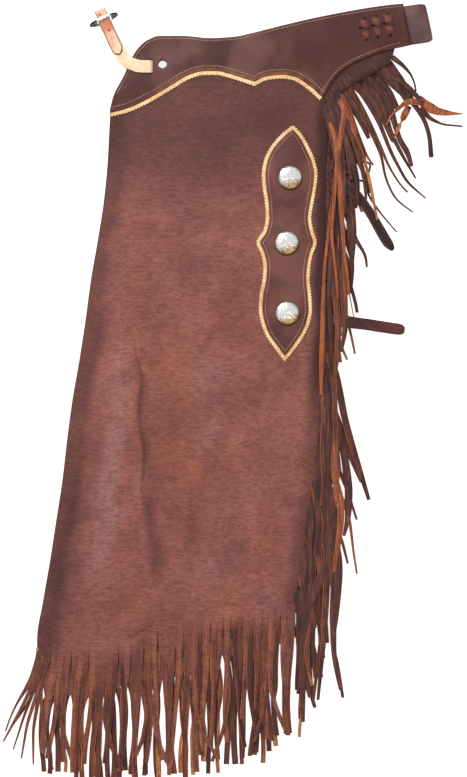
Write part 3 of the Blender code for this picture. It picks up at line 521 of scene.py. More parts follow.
# %% [markdown]
# ## Metals and thread
# The buttons are plated brass, beaten so that each facet catches another part of the room. The
# relief is in their mesh, and the finish adds tarnish clouds and a painted reflection: dull gold
# on each dome's lower side and round its rim. The thread is waxed and matt.

# %% Metals and thread
def metal(name, bright, dull, rough=0.2, size=4.0, colour_shift=None):
    finish = Finish(name, Metallic=1.0, Roughness=rough)
    dulled = finish.cloudy(finish.place, size, 3.0, 0.6)
    share = finish.step(dulled, 0.5, 0.75) * 0.3
    # painted reflection: where the named value is high the metal takes the dull colour
    if colour_shift:
        share = finish.step(finish.value(colour_shift) + (dulled - 0.5) * 0.9, 0.30, 0.85)
    finish.colour(finish.blend(share, bright, dull))
    finish.roughness(dulled * 0.2 + rough - 0.06)
    return finish.material


# the dull gold is the colour of the painted reflection
silver = metal("beaten_silver", (0.93, 0.92, 0.88, 1), (0.38, 0.235, 0.10, 1), 0.16, 3.0,
               "dulled")
black_metal = metal("black_buckle", (0.05, 0.05, 0.055, 1), (0.02, 0.02, 0.02, 1), 0.34)
thread = plain_hide("thread", tint(168, 124, 112), tint(224, 182, 166), 0.7, 0.8, 0.05)
rust_thread = plain_hide("rust_thread", tint(112, 62, 42), tint(156, 92, 60), 0.7, 0.8, 0.05)


# %% [markdown]
# ## Camera, light and floor
# The garment is seen from straight above, so the camera hangs over the middle of the picture. A
# long lens keeps the flat shape true. A big soft lamp on the waist side gives the short shadows
# below each edge, and the pale floor is bright enough to read as a white ground.

# %% Camera
PICTURE = (467, 777)
MM_PER_PIXEL = 1.3
CAMERA_HIGH = 3.0
view_middle = (np.array([0.65, 10.4, 0.0]) + SHIFT) * MM
camera_data = bpy.data.cameras.new("camera")
camera_data.sensor_width = 36.0
half_height = PICTURE[1] * MM_PER_PIXEL / 2 * MM
camera_data.lens = 18.0 * (CAMERA_HIGH - 0.010) / half_height
camera = into_scene("camera", camera_data)
camera.location = (view_middle[0], view_middle[1], CAMERA_HIGH)
bpy.context.scene.camera = camera
bpy.context.scene.view_settings.view_transform = "Standard"
print("lens:", round(camera_data.lens, 1), "mm")


# %% Lamps, room and floor
def lamp(name, place, size, watts):
    data = bpy.data.lights.new(name, "AREA")
    data.shape, data.size, data.energy = "DISK", size, watts
    made = into_scene(name, data)
    made.location = place
    made.rotation_mode = "QUATERNION"
    made.rotation_quaternion = (-Vector(place)).to_track_quat("-Z", "Y")


lamp("top_lamp", (-0.9, 1.5, 1.9), 1.1, 38)
lamp("fill_lamp", (0.6, -1.2, 2.4), 2.2, 9)
room = bpy.data.worlds.new("room")
room.use_nodes = True
sky = room.node_tree.nodes
spread = sky.new("ShaderNodeTexCoord")
split = sky.new("ShaderNodeSeparateXYZ")
brightness = sky.new("ShaderNodeMapRange")
for key, level in {"From Min": 0.1, "From Max": 0.8, "To Min": 0.12, "To Max": 0.72}.items():
    brightness.inputs[key].default_value = level
room.node_tree.links.new(spread.outputs["Generated"], split.inputs[0])
room.node_tree.links.new(split.outputs["Z"], brightness.inputs["Value"])
room.node_tree.links.new(brightness.outputs[0], sky["Background"].inputs["Strength"])
sky["Background"].inputs["Color"].default_value = (1, 1, 1, 1)
bpy.context.scene.world = room

bpy.ops.mesh.primitive_plane_add(size=6.0, location=(0, 0, -0.0004))
floor = bpy.context.object
floor.name = "floor"
ground = Finish("pale_floor", Roughness=0.9, Emission_Color=(1, 1, 1, 1), Emission_Strength=0.78)
ground.colour((0.6, 0.6, 0.6, 1.0))
floor.data.materials.append(ground.material)


# %% [markdown]
# ## The cut of the leather
# These tables are the solids' own: edges of the near leg, hems, yoke and side panel. Measures
# are in millimetres, with x towards the side fringe and y towards the waist.

# %% Tables of edges
LEFT_EDGE = [(372, -159.5), (346, -161), (307, -163), (255, -168), (203, -176), (151, -185),
             (99, -192), (47, -200), (-5, -209), (-57, -216), (-109, -222), (-161, -230),
             (-213, -238), (-265, -247), (-317, -255), (-340, -254), (-392, -246)]
RIGHT_EDGE = [(470, 212), (445, 208), (435, 203), (417, 176), (398, 146), (378, 130),
              (346, 124), (281, 121), (190, 120), (86, 118), (-18, 113), (-96, 107),
              (-174, 95), (-232, 87), (-270, 82), (-300, 84)]
PANEL_UPPER = [(-160, 386), (-118, 404), (-78, 424), (-37, 440), (8, 437), (60, 437),
               (116, 442), (157, 454), (212, 466)]
LAYERS_UPPER = [(-160, 384), (-118, 402), (-78, 422), (-37, 437), (8, 434), (60, 434),
                (116, 436), (157, 437), (212, 438)]
NEAR_HEM = [(-256, -332), (-225, -323), (-173, -319), (-134, -315), (-98, -296), (-62, -292),
            (-30, -279), (22, -274), (82, -271)]
FAR_HEM = [(-246, -391), (-222, -389), (-178, -391), (-133, -373), (-88, -370), (-48, -349),
           (-18, -338), (14, -335), (55, -326), (74, -313), (87, -296)]
YOKE_UPPER = [(-160, 372), (-155, 391), (-142, 417), (-129, 445), (-121, 455.5), (-112, 463),
              (-95, 469), (-66, 469), (-30, 466), (-1, 467.5), (22, 472), (58, 481), (87, 488),
              (110, 493), (146, 500), (178, 505.5), (204, 509), (221, 510.5)]
YOKE_FRONT_SCALLOP = [(-160, 368.6), (-139, 374), (-118, 383), (-98, 394), (-78, 406),
                      (-57, 418), (-37, 423), (-21, 423), (-7, 420), (8, 415.5), (28, 409)]
YOKE_SIDE_SCALLOP = [(28, 409), (38, 414.5), (48, 417), (64, 418.3), (79, 416), (93, 408.5),
                     (105, 399), (116, 389)]
YOKE_BACK_SWEEP = [(116, 389), (127, 406), (137, 419), (157, 433), (177, 442), (199, 450),
                   (221, 456)]
PLATE = [(352, 78, 78), (340, 63, 89), (322, 48, 99), (307, 41, 105.5), (289, 38, 109),
         (272, 39, 107.5), (252, 42, 104), (231, 43, 101), (216, 40, 103.5), (200, 31, 108),
         (185, 37, 103), (169, 40, 100), (152, 39, 99), (131, 35, 101), (113, 34, 102),
         (96, 37, 99), (80, 43, 92), (61, 56, 79), (46, 67, 67)]
CONCHOS_AT = [(74, 284), (70, 199), (70.5, 108)]

left_edge, right_edge = through(LEFT_EDGE), through(RIGHT_EDGE)
panel_line, layers_line = through(PANEL_UPPER), through(LAYERS_UPPER)
near_hem, far_hem = through(NEAR_HEM), through(FAR_HEM)
yoke_upper = through(YOKE_UPPER)
front_scallop, side_scallop = through(YOKE_FRONT_SCALLOP), through(YOKE_SIDE_SCALLOP)
back_sweep = through(YOKE_BACK_SWEEP)
plate_left, plate_right = through(PLATE, 1), through(PLATE, 2)


def panel_upper(x):
    """The legs' upper edges, which stay below the yoke at its front corner."""
    return np.minimum(panel_line(x), yoke_upper(x) - 3.5)


def layers_upper(x):
    return np.minimum(layers_line(x), yoke_upper(x) - 4.5)


def yoke_lower(x):
    """The front scallop, the side scallop and the sweep meet at the tables' shared places."""
    front_end, side_end = YOKE_FRONT_SCALLOP[-1][0], YOKE_SIDE_SCALLOP[-1][0]
    behind = np.where(x < side_end, side_scallop(x), back_sweep(x))
    return np.where(x < front_end, front_scallop(x), behind)


# %% [markdown]
# ## Folds and creases of the near leg
# The largest folds are the solids'. On them lie creases: each is a short line with a width, a
# depth and soft ends, some raised and some sunk, of uneven length, because leather that was
# folded before keeps the marks. The long one on the front half is the photo's strongest.

# %% Heights
# A fold's row holds x, y, length, width, height and lean. A crease's holds width, height and line.
PANEL_TOP = 12.5
FOLDS = [(-152, 2, 115, 24, 3.4, -9), (-120, -30, 125, 7, -2.2, -4), (-98, -60, 130, 15, 1.3, -6),
         (-150, -215, 90, 40, 1.6, -12), (-20, 20, 150, 45, 0.9, 4), (-45, -170, 110, 28, -0.9, 8),
         (35, -150, 120, 32, 1.2, 3), (-60, 280, 90, 50, 0.8, -20)]
CREASES = [
    (2.4, -1.1, [(-129, 92), (-128.7, 73), (-124.8, 47), (-119.6, 32), (-118.3, 14), (-121, -5),
                 (-122.2, -23), (-119.6, -46), (-115.7, -70), (-117, -98), (-118.3, -122),
                 (-113, -145)]),
    (5, -0.6, [(-119, 40), (-114.5, 14), (-117, -5), (-118, -23), (-115, -50), (-111, -75),
               (-112, -98)]),
    (8, -0.9, [(-113, -118), (-108, -150), (-104, -187), (-99, -213), (-97, -255)]),
    (4.6, 0.9, [(-137, 90), (-134, 60), (-127, 28), (-126, 8), (-129, -23), (-126, -60),
                (-124, -98), (-126, -125), (-121, -150), (-117, -200)]),
    (4, -0.6, [(-112, 42), (-104, 40), (-95, 45)]),
    (2.4, -0.7, [(-147, -61), (-134, -58), (-123, -52)]),
    (7, -0.6, [(-196, -20), (-199, -70), (-206, -130), (-214, -180)]),
    (7, -0.5, [(-172, 120), (-176, 70), (-184, 20)]),
    (8, -0.45, [(-60, -240), (-52, -180), (-50, -120)]),
    (7, 0.4, [(20, -250), (28, -190), (24, -130)]),
    (6, -0.3, [(-30, 120), (20, 128), (32, 122)]),
    (9, -0.35, [(-120, 330), (-60, 338), (0, 334)]),
    (8, 0.3, [(-80, 190), (-40, 205), (10, 200)]),
]


def crease_height(x, y):
    """Sum of the creases: the nearest point of each line gives its depth there."""
    lift = np.zeros_like(x)
    for wide, high, spots in CREASES:
        line = np.array(spots, float)
        runs = np.r_[0, np.cumsum(np.linalg.norm(np.diff(line, axis=0), axis=1))]
        best, place = np.full(x.shape, 1e9), np.zeros_like(x)
        for k in range(len(line) - 1):
            a, b = line[k], line[k + 1]
            run = b - a
            t = np.clip(((x - a[0]) * run[0] + (y - a[1]) * run[1]) / (run @ run), 0, 1)
            away = np.hypot(x - a[0] - t * run[0], y - a[1] - t * run[1])
            nearer = away < best
            best = np.where(nearer, away, best)
            place = np.where(nearer, runs[k] + t * np.linalg.norm(run), place)
        ends = smooth(np.minimum(place, runs[-1] - place) / (0.3 * runs[-1]) + 0.12)
        lift += high * ends * np.exp(-(best / wide) ** 2)
    return lift


def calm(x, y):
    """0 below the yoke and the side panel, where stitching holds the leather flat."""
    calm_x = np.maximum(0, np.maximum(28 - x, x - 114))
    calm_y = np.maximum(0, np.maximum(40 - y, y - 358))
    return smooth(np.hypot(calm_x, calm_y) / 30) * smooth((350 - y) / 60)


def leaning(dx, dy, degrees):
    """How far along and across a leaning axis a place lies."""
    lean = math.radians(degrees)
    return dy * math.cos(lean) - dx * math.sin(lean), dx * math.cos(lean) + dy * math.sin(lean)


def fold_height(x, y):
    lift = np.zeros_like(x)
    for at_x, at_y, long, wide, high, lean in FOLDS:
        along, across = leaning(x - at_x, y - at_y, lean)
        lift += high * np.exp(-(along / long) ** 2 - (across / wide) ** 2)
    return calm(x, y) * lift


def panel_height(x, y):
    x, y = np.asarray(x, float), np.asarray(y, float)
    from_left = np.maximum(0, x - left_edge(y))
    from_right = np.maximum(0, right_edge(y) - x)
    from_hem = np.maximum(0, y - near_hem(x))
    reach = mix(15.0, 5.0, smooth((y - 250) / 110))
    left = 3.2 * (1 - np.sqrt(np.maximum(0, 1 - np.maximum(0, 1 - from_left / reach) ** 2)))
    right = 2.5 * np.maximum(0, 1 - from_right / 14.0) ** 2 * smooth((440 - y) / 50)
    hem = 3.0 * np.maximum(0, 1 - from_hem / 26.0) ** 2
    return PANEL_TOP + fold_height(x, y) - left - right - hem


def worn_height(x, y):
    """The panel with its creases and small unevenness, as the eye sees it."""
    quiet = calm(x, y)
    small = clouds(x, y, 17, 3) * 0.22 + clouds(x * 0.6, y * 1.5, 8, 4) * 0.12
    return panel_height(x, y) + quiet * (crease_height(x, y) + small) - 0.25 * quiet


def yoke_rest(x, y):
    waist = mix(8.2, 9.8, smooth((x - 60) / 100))
    start = panel_line(x) + 5
    span = np.maximum(14.0, yoke_upper(x) - start)
    return mix(PANEL_TOP + 0.3, waist, smooth((y - start) / span))


def yoke_top(x, y):
    return yoke_rest(x, y) + 3.0


# %% [markdown]
# ## The near leg
# One panel of hide, with its front edge turned under and its hem cut into strands. The grid
# follows the leg's own edges, so its columns bend with the cut. A value called shade paints shade
# into the leather: along the turned front edge, by the fringe, just below the yoke and in the
# creases. It also darkens the leather towards the yoke and carries some random tone.

# %% Tone and painted light of the near leg
# Each row holds x, y, length, width, lean, and how rusty, hazy and pale the place is. The haze is
# a grey tone, and a painted sheen on the bulge by the front edge. The paleness is mostly painted
# light: sheen on that bulge, a highlight on the long raised crease, and shade in the sunk crease,
# by the front edge and below the yoke.
TONE_AND_PAINTED_LIGHT = [(-86, 46, 20, 28, 60, 0.75, 0, 0.1), (-60, 2, 26, 16, 45, 0.6, 0, 0.1),
        (-36, -78, 30, 34, 0, 0.65, 0, 0), (-75, -80, 50, 22, 8, 0.55, 0, 0),
        (-198, -96, 26, 12, -8, 0.6, 0, 0), (0, -256, 24, 30, 30, 0.7, 0, 0.1),
        (45, -190, 40, 18, 0, 0.5, 0, 0), (-60, -215, 50, 30, 0, 0.35, 0, 0),
        (-131, -60, 150, 7, -4, 0.4, 0, 0.45), (-128, -265, 40, 18, -4, 0.5, 0, 0.2),
        (-120, 130, 60, 18, -10, 0.35, 0, 0), (-10, 120, 60, 40, 20, 0.25, 0, 0),
        (-34, 26, 26, 30, 0, 0, 0.55, 0), (-33, -48, 20, 26, 70, 0, 0.55, 0),
        (-151, 10, 60, 14, -4, 0, 0.5, 1), (-152, -72, 50, 16, -6, 0, 0.6, 1),
        (-166, -165, 75, 17, -8, 0, 0.8, 0.5), (-30, -225, 30, 40, 40, 0, 0.4, 0),
        (40, -262, 24, 20, 0, 0, 0.35, -0.3), (-20, 200, 60, 60, 0, 0, 0.2, 0),
        (-108, -90, 180, 9, -5, 0, 0, -0.5), (-98, 44, 12, 16, 80, 0, 0, -0.3),
        (-206, -160, 110, 15, -9, 0, 0.2, -0.9), (-190, -40, 130, 12, -9, 0.2, 0, -0.5),
        (-222, -262, 84, 28, -8, 0, 0, -0.85), (-60, 345, 26, 120, 8, 0, 0, -0.3),
        (70, 350, 60, 50, 30, 0, 0, -0.45)]


def tone_and_painted_light(x, y):
    """How rusty, hazy and pale the leg's leather is at each place; haze and paleness are partly
    painted sheen, highlight and shade.
    """
    age = {"rust": 0 * x, "grey_and_sheen": 0 * x, "pale": 0 * x}
    wander_x = clouds(x, y, 26, 12) * 9
    wander_y = clouds(x, y, 26, 13) * 9
    for at_x, at_y, long, wide, lean, *marks in TONE_AND_PAINTED_LIGHT:
        along, across = leaning(x + wander_x - at_x, y + wander_y - at_y, lean)
        share = np.exp(-(along / long) ** 2 - (across / wide) ** 2)
        for key, mark in zip(age, marks):
            age[key] = age[key] + mark * share
    return age


def leg_shade(x, y):
    """1 where the leg is fully lit, near 0 where its painted shade is darkest, with random tone mixed
    in.
    """
    from_left, from_right = x - left_edge(y), right_edge(y) - x
    # painted shade along the turned front edge, where the leather rounds away
    edge = 1 - 0.5 * smooth((35 - from_left + clouds(x, y, 40, 8) * 8) / 26)
    # painted shade by the fringe edge, where the panel curls down, and by the yoke's back sweep
    seam = 1 - mix(0.4, 1.0, smooth((y + 60) / 120)) * smooth(
        (23 - from_right + clouds(x, y, 30, 9) * 5) / 18)
    seam = np.where(y > 380, np.minimum(seam, 1 - 0.62 * smooth((x - 108) / 16)), seam)
    # darker towards the yoke
    yoke_dark = 1 - 0.58 * smooth((y - 195 - clouds(x, y, 60, 5) * 30) / 165)
    # painted shadow just below the yoke's edge
    near_yoke = 1 - 0.35 * smooth((y - yoke_lower(x) + 16) / 12)
    # painted shade in sunk creases and a painted highlight on raised ones
    sunk = 1 + 0.5 * np.clip(crease_height(x, y) * calm(x, y), -1.3, 0.4)
    broad = 0.86 + 0.10 * clouds(x, y, 52, 15)
    # random broad tone; the table's paleness adds painted sheen, highlight and shade
    shade = broad * edge * seam * yoke_dark * near_yoke * sunk + 0.22 * tone_and_painted_light(x, y)["pale"]
    return np.clip(shade, 0.03, 1)


def solve_column(x_of, upper, lower, rows):
    """Rows of (x, y) down a column whose ends lie on two edges."""
    ends = []
    for edge, y in ((upper, 430.0), (lower, -300.0)):
        for _ in range(9):
            y = edge(x_of(y))
        ends.append(y)
    ys = mix(ends[0], ends[1], rows)
    return x_of(ys), ys


def near_leg():
    rows = np.linspace(0, 1, 225)
    offsets = [("left", n) for n in (0.25, 0.7, 1.4, 2.4, 3.8, 5.6, 8.0, 11.0)]
    offsets += [("middle", s) for s in np.linspace(0, 1, 122)]
    offsets += [("right", n) for n in (3.5, 1.4, 0.0)]
    grid = []
    for inward, high in ((5.2, 6.1), (2.6, 6.2), (1.0, 6.6), (0.25, 7.4), (0.05, 8.4)):
        x, y = solve_column(lambda v: left_edge(v) + inward, panel_upper, near_hem, rows)
        grid.append(np.stack([x, y, high + 0 * y], 1))
    for kind, amount in offsets:
        if kind == "left":
            x_of = lambda v: left_edge(v) + amount
        elif kind == "right":
            x_of = lambda v: right_edge(v) - amount
        else:
            x_of = lambda v: mix(left_edge(v) + 15.0, right_edge(v) - 6.0, amount)
        x, y = solve_column(x_of, panel_upper, near_hem, rows)
        z = worn_height(x, y)
        if kind == "left":
            z = np.where(amount < 1.0, np.minimum(z, 9.6 + 0 * z), z)
        grid.append(np.stack([x, y, z], 1))
    face = np.stack(grid, 1)
    x, y = face[..., 0], face[..., 1]
    face[..., 2] -= 1.0 * smooth((near_hem(x) + 2.6 - y) / 2.4)
    age = tone_and_painted_light(x, y)
    return wall("leg_panel_hide", face, 1.5, [leg_finish, edge_finish, flesh_finish],
                {"shade": leg_shade(x, y), "rust": age["rust"], "grey_and_sheen": age["grey_and_sheen"]})


leg = near_leg()
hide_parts("leg_panel")
print("near leg:", made_triangles["leg_panel_hide"], "triangles")


# %% [markdown]
# ## The hidden layers
# Below the near leg lie its turned-in side and the whole far leg. They show only along the front
# edge, as a second and third thickness, and at the far leg's lower hem. One closed form with
# stepped edges stands for them, flat where it rests.

# %% Hidden layers
def layers_height(x, y):
    near = np.minimum(panel_height(x - 9, y), panel_height(x + 9, y))
    near = np.minimum(near, panel_height(x, y))
    below_panel = near - 2.8
    past_hem = smooth((near_hem(x) + 6 - y) / 34)
    return mix(np.minimum(below_panel, PANEL_TOP), 2.9, past_hem)


def hidden_layers():
    """Upper faces over a flat underside, with stepped edges like stacked hides."""
    rows = np.r_[np.linspace(0, 0.88, 60), np.linspace(0.89, 1, 26)]
    steps = [(2.4, 0.3), (1.5, 1.4), (2.6, 2.1), (1.0, 2.3), (0.9, 3.3), (2.4, 3.9), (1.9, 4.2),
             (3.0, 5.0)]
    columns = [(lambda v, n=n: left_edge(v) + n, h, 0) for n, h in steps]
    columns += [(lambda v, n=n: left_edge(v) + n, 99, 0) for n in (5.6, 9.0, 15.0)]
    columns += [(lambda v, s=s: mix(left_edge(v) + 15.0, right_edge(v) - 6.0, s), 99, 0)
                for s in np.linspace(0.04, 1, 40)]
    columns += [(lambda v, n=n: right_edge(v) - n, 99, d)
                for n, d in ((4.0, 0.0), (2.6, 0.3), (2.2, 1.0))]
    columns.append((lambda v: right_edge(v) - 2.2, 0.7, 0))
    upper, under = [], []
    for x_of, high, drop in columns:
        x, y = solve_column(x_of, layers_upper, far_hem, rows)
        upper.append(np.stack([x, y, np.minimum(high, layers_height(x, y) - drop)], 1))
        under.append(np.stack([x, y, 0 * y], 1))
    upper, under = np.stack(upper, 1), np.stack(under, 1)
    under[:, 0, 0] += 1.5
    under[:, -1, 0] -= 0.8
    count, cols = upper.shape[:2]
    index = np.arange(count * cols).reshape(count, cols)
    base = index + count * cols
    loop = border(index)
    around = np.stack([loop, np.roll(loop, -1), np.roll(loop, -1) + count * cols,
                       loop + count * cols], 1)
    faces = np.concatenate([quads(index), quads(base)[:, ::-1], around])
    points = np.concatenate([upper.reshape(-1, 3), under.reshape(-1, 3)])
    # painted shade: the hidden layers are darker, a little less so where they show below the near hem
    shade = 0.35 + 0.3 * smooth((near_hem(points[:, 0]) - 4 - points[:, 1]) / 16)
    made = piece("hidden_layer_hides", points, faces.tolist(), [leg_finish],
                 values={"shade": shade, "rust": 0.2 + 0 * shade, "grey_and_sheen": 0 * shade})
    made.data.set_sharp_from_angle(angle=math.radians(50))
    return made


layers = hidden_layers()
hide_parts("under_layers")


# %% [markdown]
# ## The yoke
# A heavier, smooth hide that holds the waist. Its lower edge is cut in two scallops, bevelled,
# and sewn down through the pinked trim. The hole near the front goes right through both yokes,
# so it is cut with a Boolean on a fine grid, and the tie comes up through a slot beside it.

# %% Yoke
def edge_steps(low, high, count):
    """Rows from one edge to the other, close together near both."""
    near = np.array([0, 0.45, 1.1, 2.2, 4.0])
    span = high - low
    scale = np.minimum(1.0, span / 16.0)
    rows = [low + n * scale for n in near]
    rows += [mix(low + 4.0 * scale, high - 4.0 * scale, s) for s in np.linspace(0, 1, count)[1:-1]]
    rows += [high - n * scale for n in near[::-1]]
    drops = [1.0, 0.42, 0.12, 0.02, 0] + [0] * (count - 2) + [0, 0.02, 0.12, 0.42, 1.0]
    return rows, drops


def punched(source, name):
    """Cuts the punched hole, and the slot where the source has one."""
    tools = [("hole", (-91.6, 431.9), (11.4, 11.4))]
    if name == "yoke_hide":
        tools.append(("slot", (-105.65, 428.0), (4.7, 18.2)))
    cutters = []
    for label, (x, y), (wide, tall) in tools:
        bpy.ops.mesh.primitive_cylinder_add(
            vertices=48, radius=0.5, depth=0.06,
            location=((x + SHIFT[0]) * MM, (y + SHIFT[1]) * MM, 0.01))
        tool = bpy.context.object
        tool.scale = (wide * MM, tall * MM, 1)
        change = source.modifiers.new(label, "BOOLEAN")
        change.operation, change.solver, change.object = "DIFFERENCE", "EXACT", tool
        cutters.append(tool)
    made = solid_copy(source, name)
    for tool in cutters + [source]:
        bpy.data.objects.remove(tool)
    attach(made, "root")
    return made


def end_slant(x, y):
    """How far the yoke's back end leans out, so that it runs square to the belt."""
    return (511 - y) * 0.17 * smooth((x - 185) / 36)


def yoke():
    xs = np.r_[np.linspace(-160, -112, 46), np.linspace(-110.5, 221, 150)]
    low, high = yoke_lower(xs), yoke_upper(xs)
    rows, drops = edge_steps(low, high, 14)
    grid, wear_and_highlight, dim = [], [], []
    ends = np.minimum(xs + 160, 221 - xs)
    end_drop = np.interp(ends, [0, 0.5, 1.3, 3], [1.0, 0.4, 0.1, 0])
    for y, drop in list(zip(rows, drops))[::-1]:
        x = xs + end_slant(xs, y)
        z = yoke_top(x, y) + clouds(x, y, 24, 6) * 0.12 - np.maximum(drop, end_drop) * 0.9
        grid.append(np.stack([x, y, z], 1))
        raw = mix(1.15, 0.45, smooth((x - 112) / 8)) * np.exp(-(y - low) / 2.4)
        # a lighter spot by the side scallop
        colour_shift = 0.42 * np.exp(-((x - 100) / 20) ** 2 - ((y - 415) / 12) ** 2)
        wear_and_highlight.append(np.maximum(np.maximum(raw, 0.7 * np.exp(-(high - y) / 1.4)), colour_shift))
        # darker towards both ends of the yoke, less so along its lower edge in front of the sweep
        less_by_lower_edge = 1 - 0.95 * np.exp(-((y - low) / 24) ** 2) * smooth((130 - x) / 16)
        dim.append(0.75 * smooth((x - 20) / 90) * smooth((260 - x) / 60) * less_by_lower_edge
                   + 0.75 * smooth((-84 - x) / 40))
    source = wall("yoke_source", np.stack(grid), 2.6, [yoke_finish, bevel_finish, yoke_finish],
                  {"wear_and_highlight": np.stack(wear_and_highlight), "dim": np.stack(dim)}, 0.2)
    made = punched(source, "yoke_hide")
    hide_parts("yoke")
    return made


yoke_piece = yoke()
print("yoke:", made_triangles["yoke_hide"], "triangles")


# %% Far yoke
def far_yoke():
    xs = np.linspace(-146, 176, 90)
    low, high = panel_upper(xs) + 1.4, yoke_upper(xs) - 2.0
    shares = [0, 0.02, 0.3, 0.6, 0.85, 0.95, 0.985, 1]
    drop = [0, 0, 0, 0, 0, 0.1, 0.5, 1.2]
    upper = [np.stack([xs, mix(low, high, s), np.minimum(
        yoke_rest(xs, mix(low, high, s)), yoke_rest(xs, mix(low, high, s) + 3)) - 0.5 - d], 1)
        for s, d in zip(shares, drop)]
    edge = [np.stack([xs, high + d, 0 * xs + z], 1)
            for d, z in ((0.2, 6.6), (-0.9, 5.6), (0.0, 4.4), (0.1, 2.4), (-0.6, 0.4), (-1.4, 0.0))]
    base = [np.stack([xs, mix(low, high, s), 0 * xs], 1) for s in (0.6, 0.0)]
    ring = np.stack(upper + edge + base)
    count, cols = ring.shape[:2]
    index = np.arange(count * cols).reshape(count, cols)
    nxt = np.roll(index, -1, axis=0)
    faces = np.stack([index[:, :-1], index[:, 1:], nxt[:, 1:], nxt[:, :-1]], -1)
    faces = faces.reshape(-1, 4).tolist()
    faces += [index[:, 0].tolist(), index[:, -1][::-1].tolist()]
    source = piece("far_yoke_source", ring.reshape(-1, 3), faces, [yoke_finish],
                   values={"wear_and_highlight": np.zeros(count * cols)})
    made = punched(source, "far_yoke_hide")
    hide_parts("far_yoke")


far_yoke()


# %% [markdown]
# ## Pinked trim
# A thin strip of tan hide peeps out from below the yoke and from round the side panel. Its edge
# is cut with pinking shears whose teeth are rounded, one every four millimetres.

# %% Trim below the yoke
TRIM_WIDE = 5.2
TRIM_LOW, TRIM_THICK = 12.8, 1.1
PLATE_RIM = 4.7
TOOTH_PITCH = 4.0


def toothed(line, sign, inner, reach):
    """A line moved out by a reach that swells and shrinks with each tooth."""
    per_tooth = 6
    fine = spaced(line, TOOTH_PITCH / per_tooth)
    side = sides_of(fine) * sign
    turn = np.arange(len(fine)) * 2 * math.pi / per_tooth
    swell = np.abs(np.sin(turn / 2)) ** 0.8
    out = reach - 0.9 + 1.6 * swell
    return fine[:, :2] + side * out[:, None], fine[:, :2] + side * inner


def yoke_trim():
    xs = np.linspace(-160, 116, 700)
    line = np.stack([xs, yoke_lower(xs)], 1)
    teeth, _ = toothed(line, 1, 0.4, TRIM_WIDE)
    seat = np.stack([xs, yoke_lower(xs) - 0.4], 1)[::-1][::4]
    made = flat_piece("yoke_trim_hide", [np.concatenate([teeth, seat])], TRIM_LOW, TRIM_THICK,
                      tan_finish)
    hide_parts("yoke_trim")


yoke_trim()
print("trim:", made_triangles["yoke_trim_hide"], "triangles")


# %% [markdown]
# ## Stitches
# Each stitch is a small pulled bead of waxed thread that sinks at both ends. All stitches of one
# colour are one mesh: a bead's points are turned and moved to each place along a seam.

# %% Rows of stitches
def stitch_bead(long=1.9, wide=1.05, high=0.5):
    points, faces = [], []
    rings = [(-0.5, 0.35, -0.15), (-0.3, 0.9, 0.1), (0.0, 1.0, 0.2), (0.3, 0.9, 0.1),
             (0.5, 0.35, -0.15)]
    for along, size, lift in rings:
        for k in range(6):
            turn = 2 * math.pi * k / 6
            points.append((along * long, math.cos(turn) * wide / 2 * size,
                           math.sin(turn) * high * size + lift))
    for r in range(len(rings) - 1):
        for k in range(6):
            n = (k + 1) % 6
            faces.append((r * 6 + k, r * 6 + n, r * 6 + 6 + n, r * 6 + 6 + k))
    last = (len(rings) - 1) * 6
    faces += [tuple(range(5, -1, -1)), tuple(range(last, last + 6))]
    return np.array(points), faces


def stitches(name, seams, finish, pitch=3.1):
    """seams holds (line of x, y points, function of x and y that gives the height)."""
    bead, bead_faces = stitch_bead()
    points, faces = [], []
    for line, height in seams:
        spots = spaced(line, pitch)
        way = np.gradient(spots, axis=0)
        for (x, y), (wx, wy) in zip(spots, way):
            z = float(height(x, y))
            ahead = float(height(x + wx * 0.1, y + wy * 0.1)) - z
            long = math.hypot(wx, wy)
            c, s = wx / long, wy / long
            start = len(points)
            for px, py, pz in bead:
                points.append((x + px * c - py * s, y + px * s + py * c,
                               z + pz + px * ahead / (long * 0.1)))
            faces += [tuple(start + i for i in face) for face in bead_faces]
    made = piece(name, points, faces, [finish])
    print(name + ":", len(points) // len(bead), "stitches")
    return made


def moved_line(xs, edge, inward):
    line = np.stack([xs, edge(xs)], 1)
    return line + sides_of(line) * inward


scallop_xs = [np.linspace(-155, 25.5, 160), np.linspace(31.5, 112.5, 90)]
seam_height = lambda x, y: yoke_top(x, y) + clouds(x, y, 24, 6) * 0.12
yoke_seams = [(moved_line(xs, yoke_lower, -6.0), seam_height) for xs in scallop_xs]
sweep_xs = np.linspace(119, 217, 90)
yoke_seams.append((moved_line(sweep_xs, yoke_lower, -4.2), seam_height))
upper_xs = np.linspace(-153, 217, 300)
yoke_seams.append((moved_line(upper_xs, yoke_upper, 3.6), seam_height))
yoke_stitches = stitches("yoke_stitches", yoke_seams, thread)

end_lines = [[(x + 7.5, 464.0), (x, 506.5)] for x in (214.6, 218.2)]
end_stitches = stitches("yoke_end_stitches", [(np.array(line), seam_height) for line in end_lines],
                        rust_thread)


# %% [markdown]
# ## Side panel and beaten buttons
# A lance-shaped patch of smooth hide lies on a pinked tan layer, beside the seam. It carries
# three domed buttons. Each dome is a turned shape whose surface is dented cell by cell, as a
# ball hammer leaves it.

# %% Side panel
PLATE_FACE = 16.2


def plate_line(margin):
    """The panel's outline, clockwise from its upper tip, drawn in by a margin."""
    ys = np.linspace(352, 46, 1200)
    right = np.stack([plate_right(ys), ys], 1)
    left = np.stack([plate_left(ys), ys], 1)
    right = right + sides_of(right) * margin
    left = left - sides_of(left) * margin
    keep = right[:, 0] - left[:, 0] > 0.05
    return np.concatenate([right[keep], left[keep][::-1]])


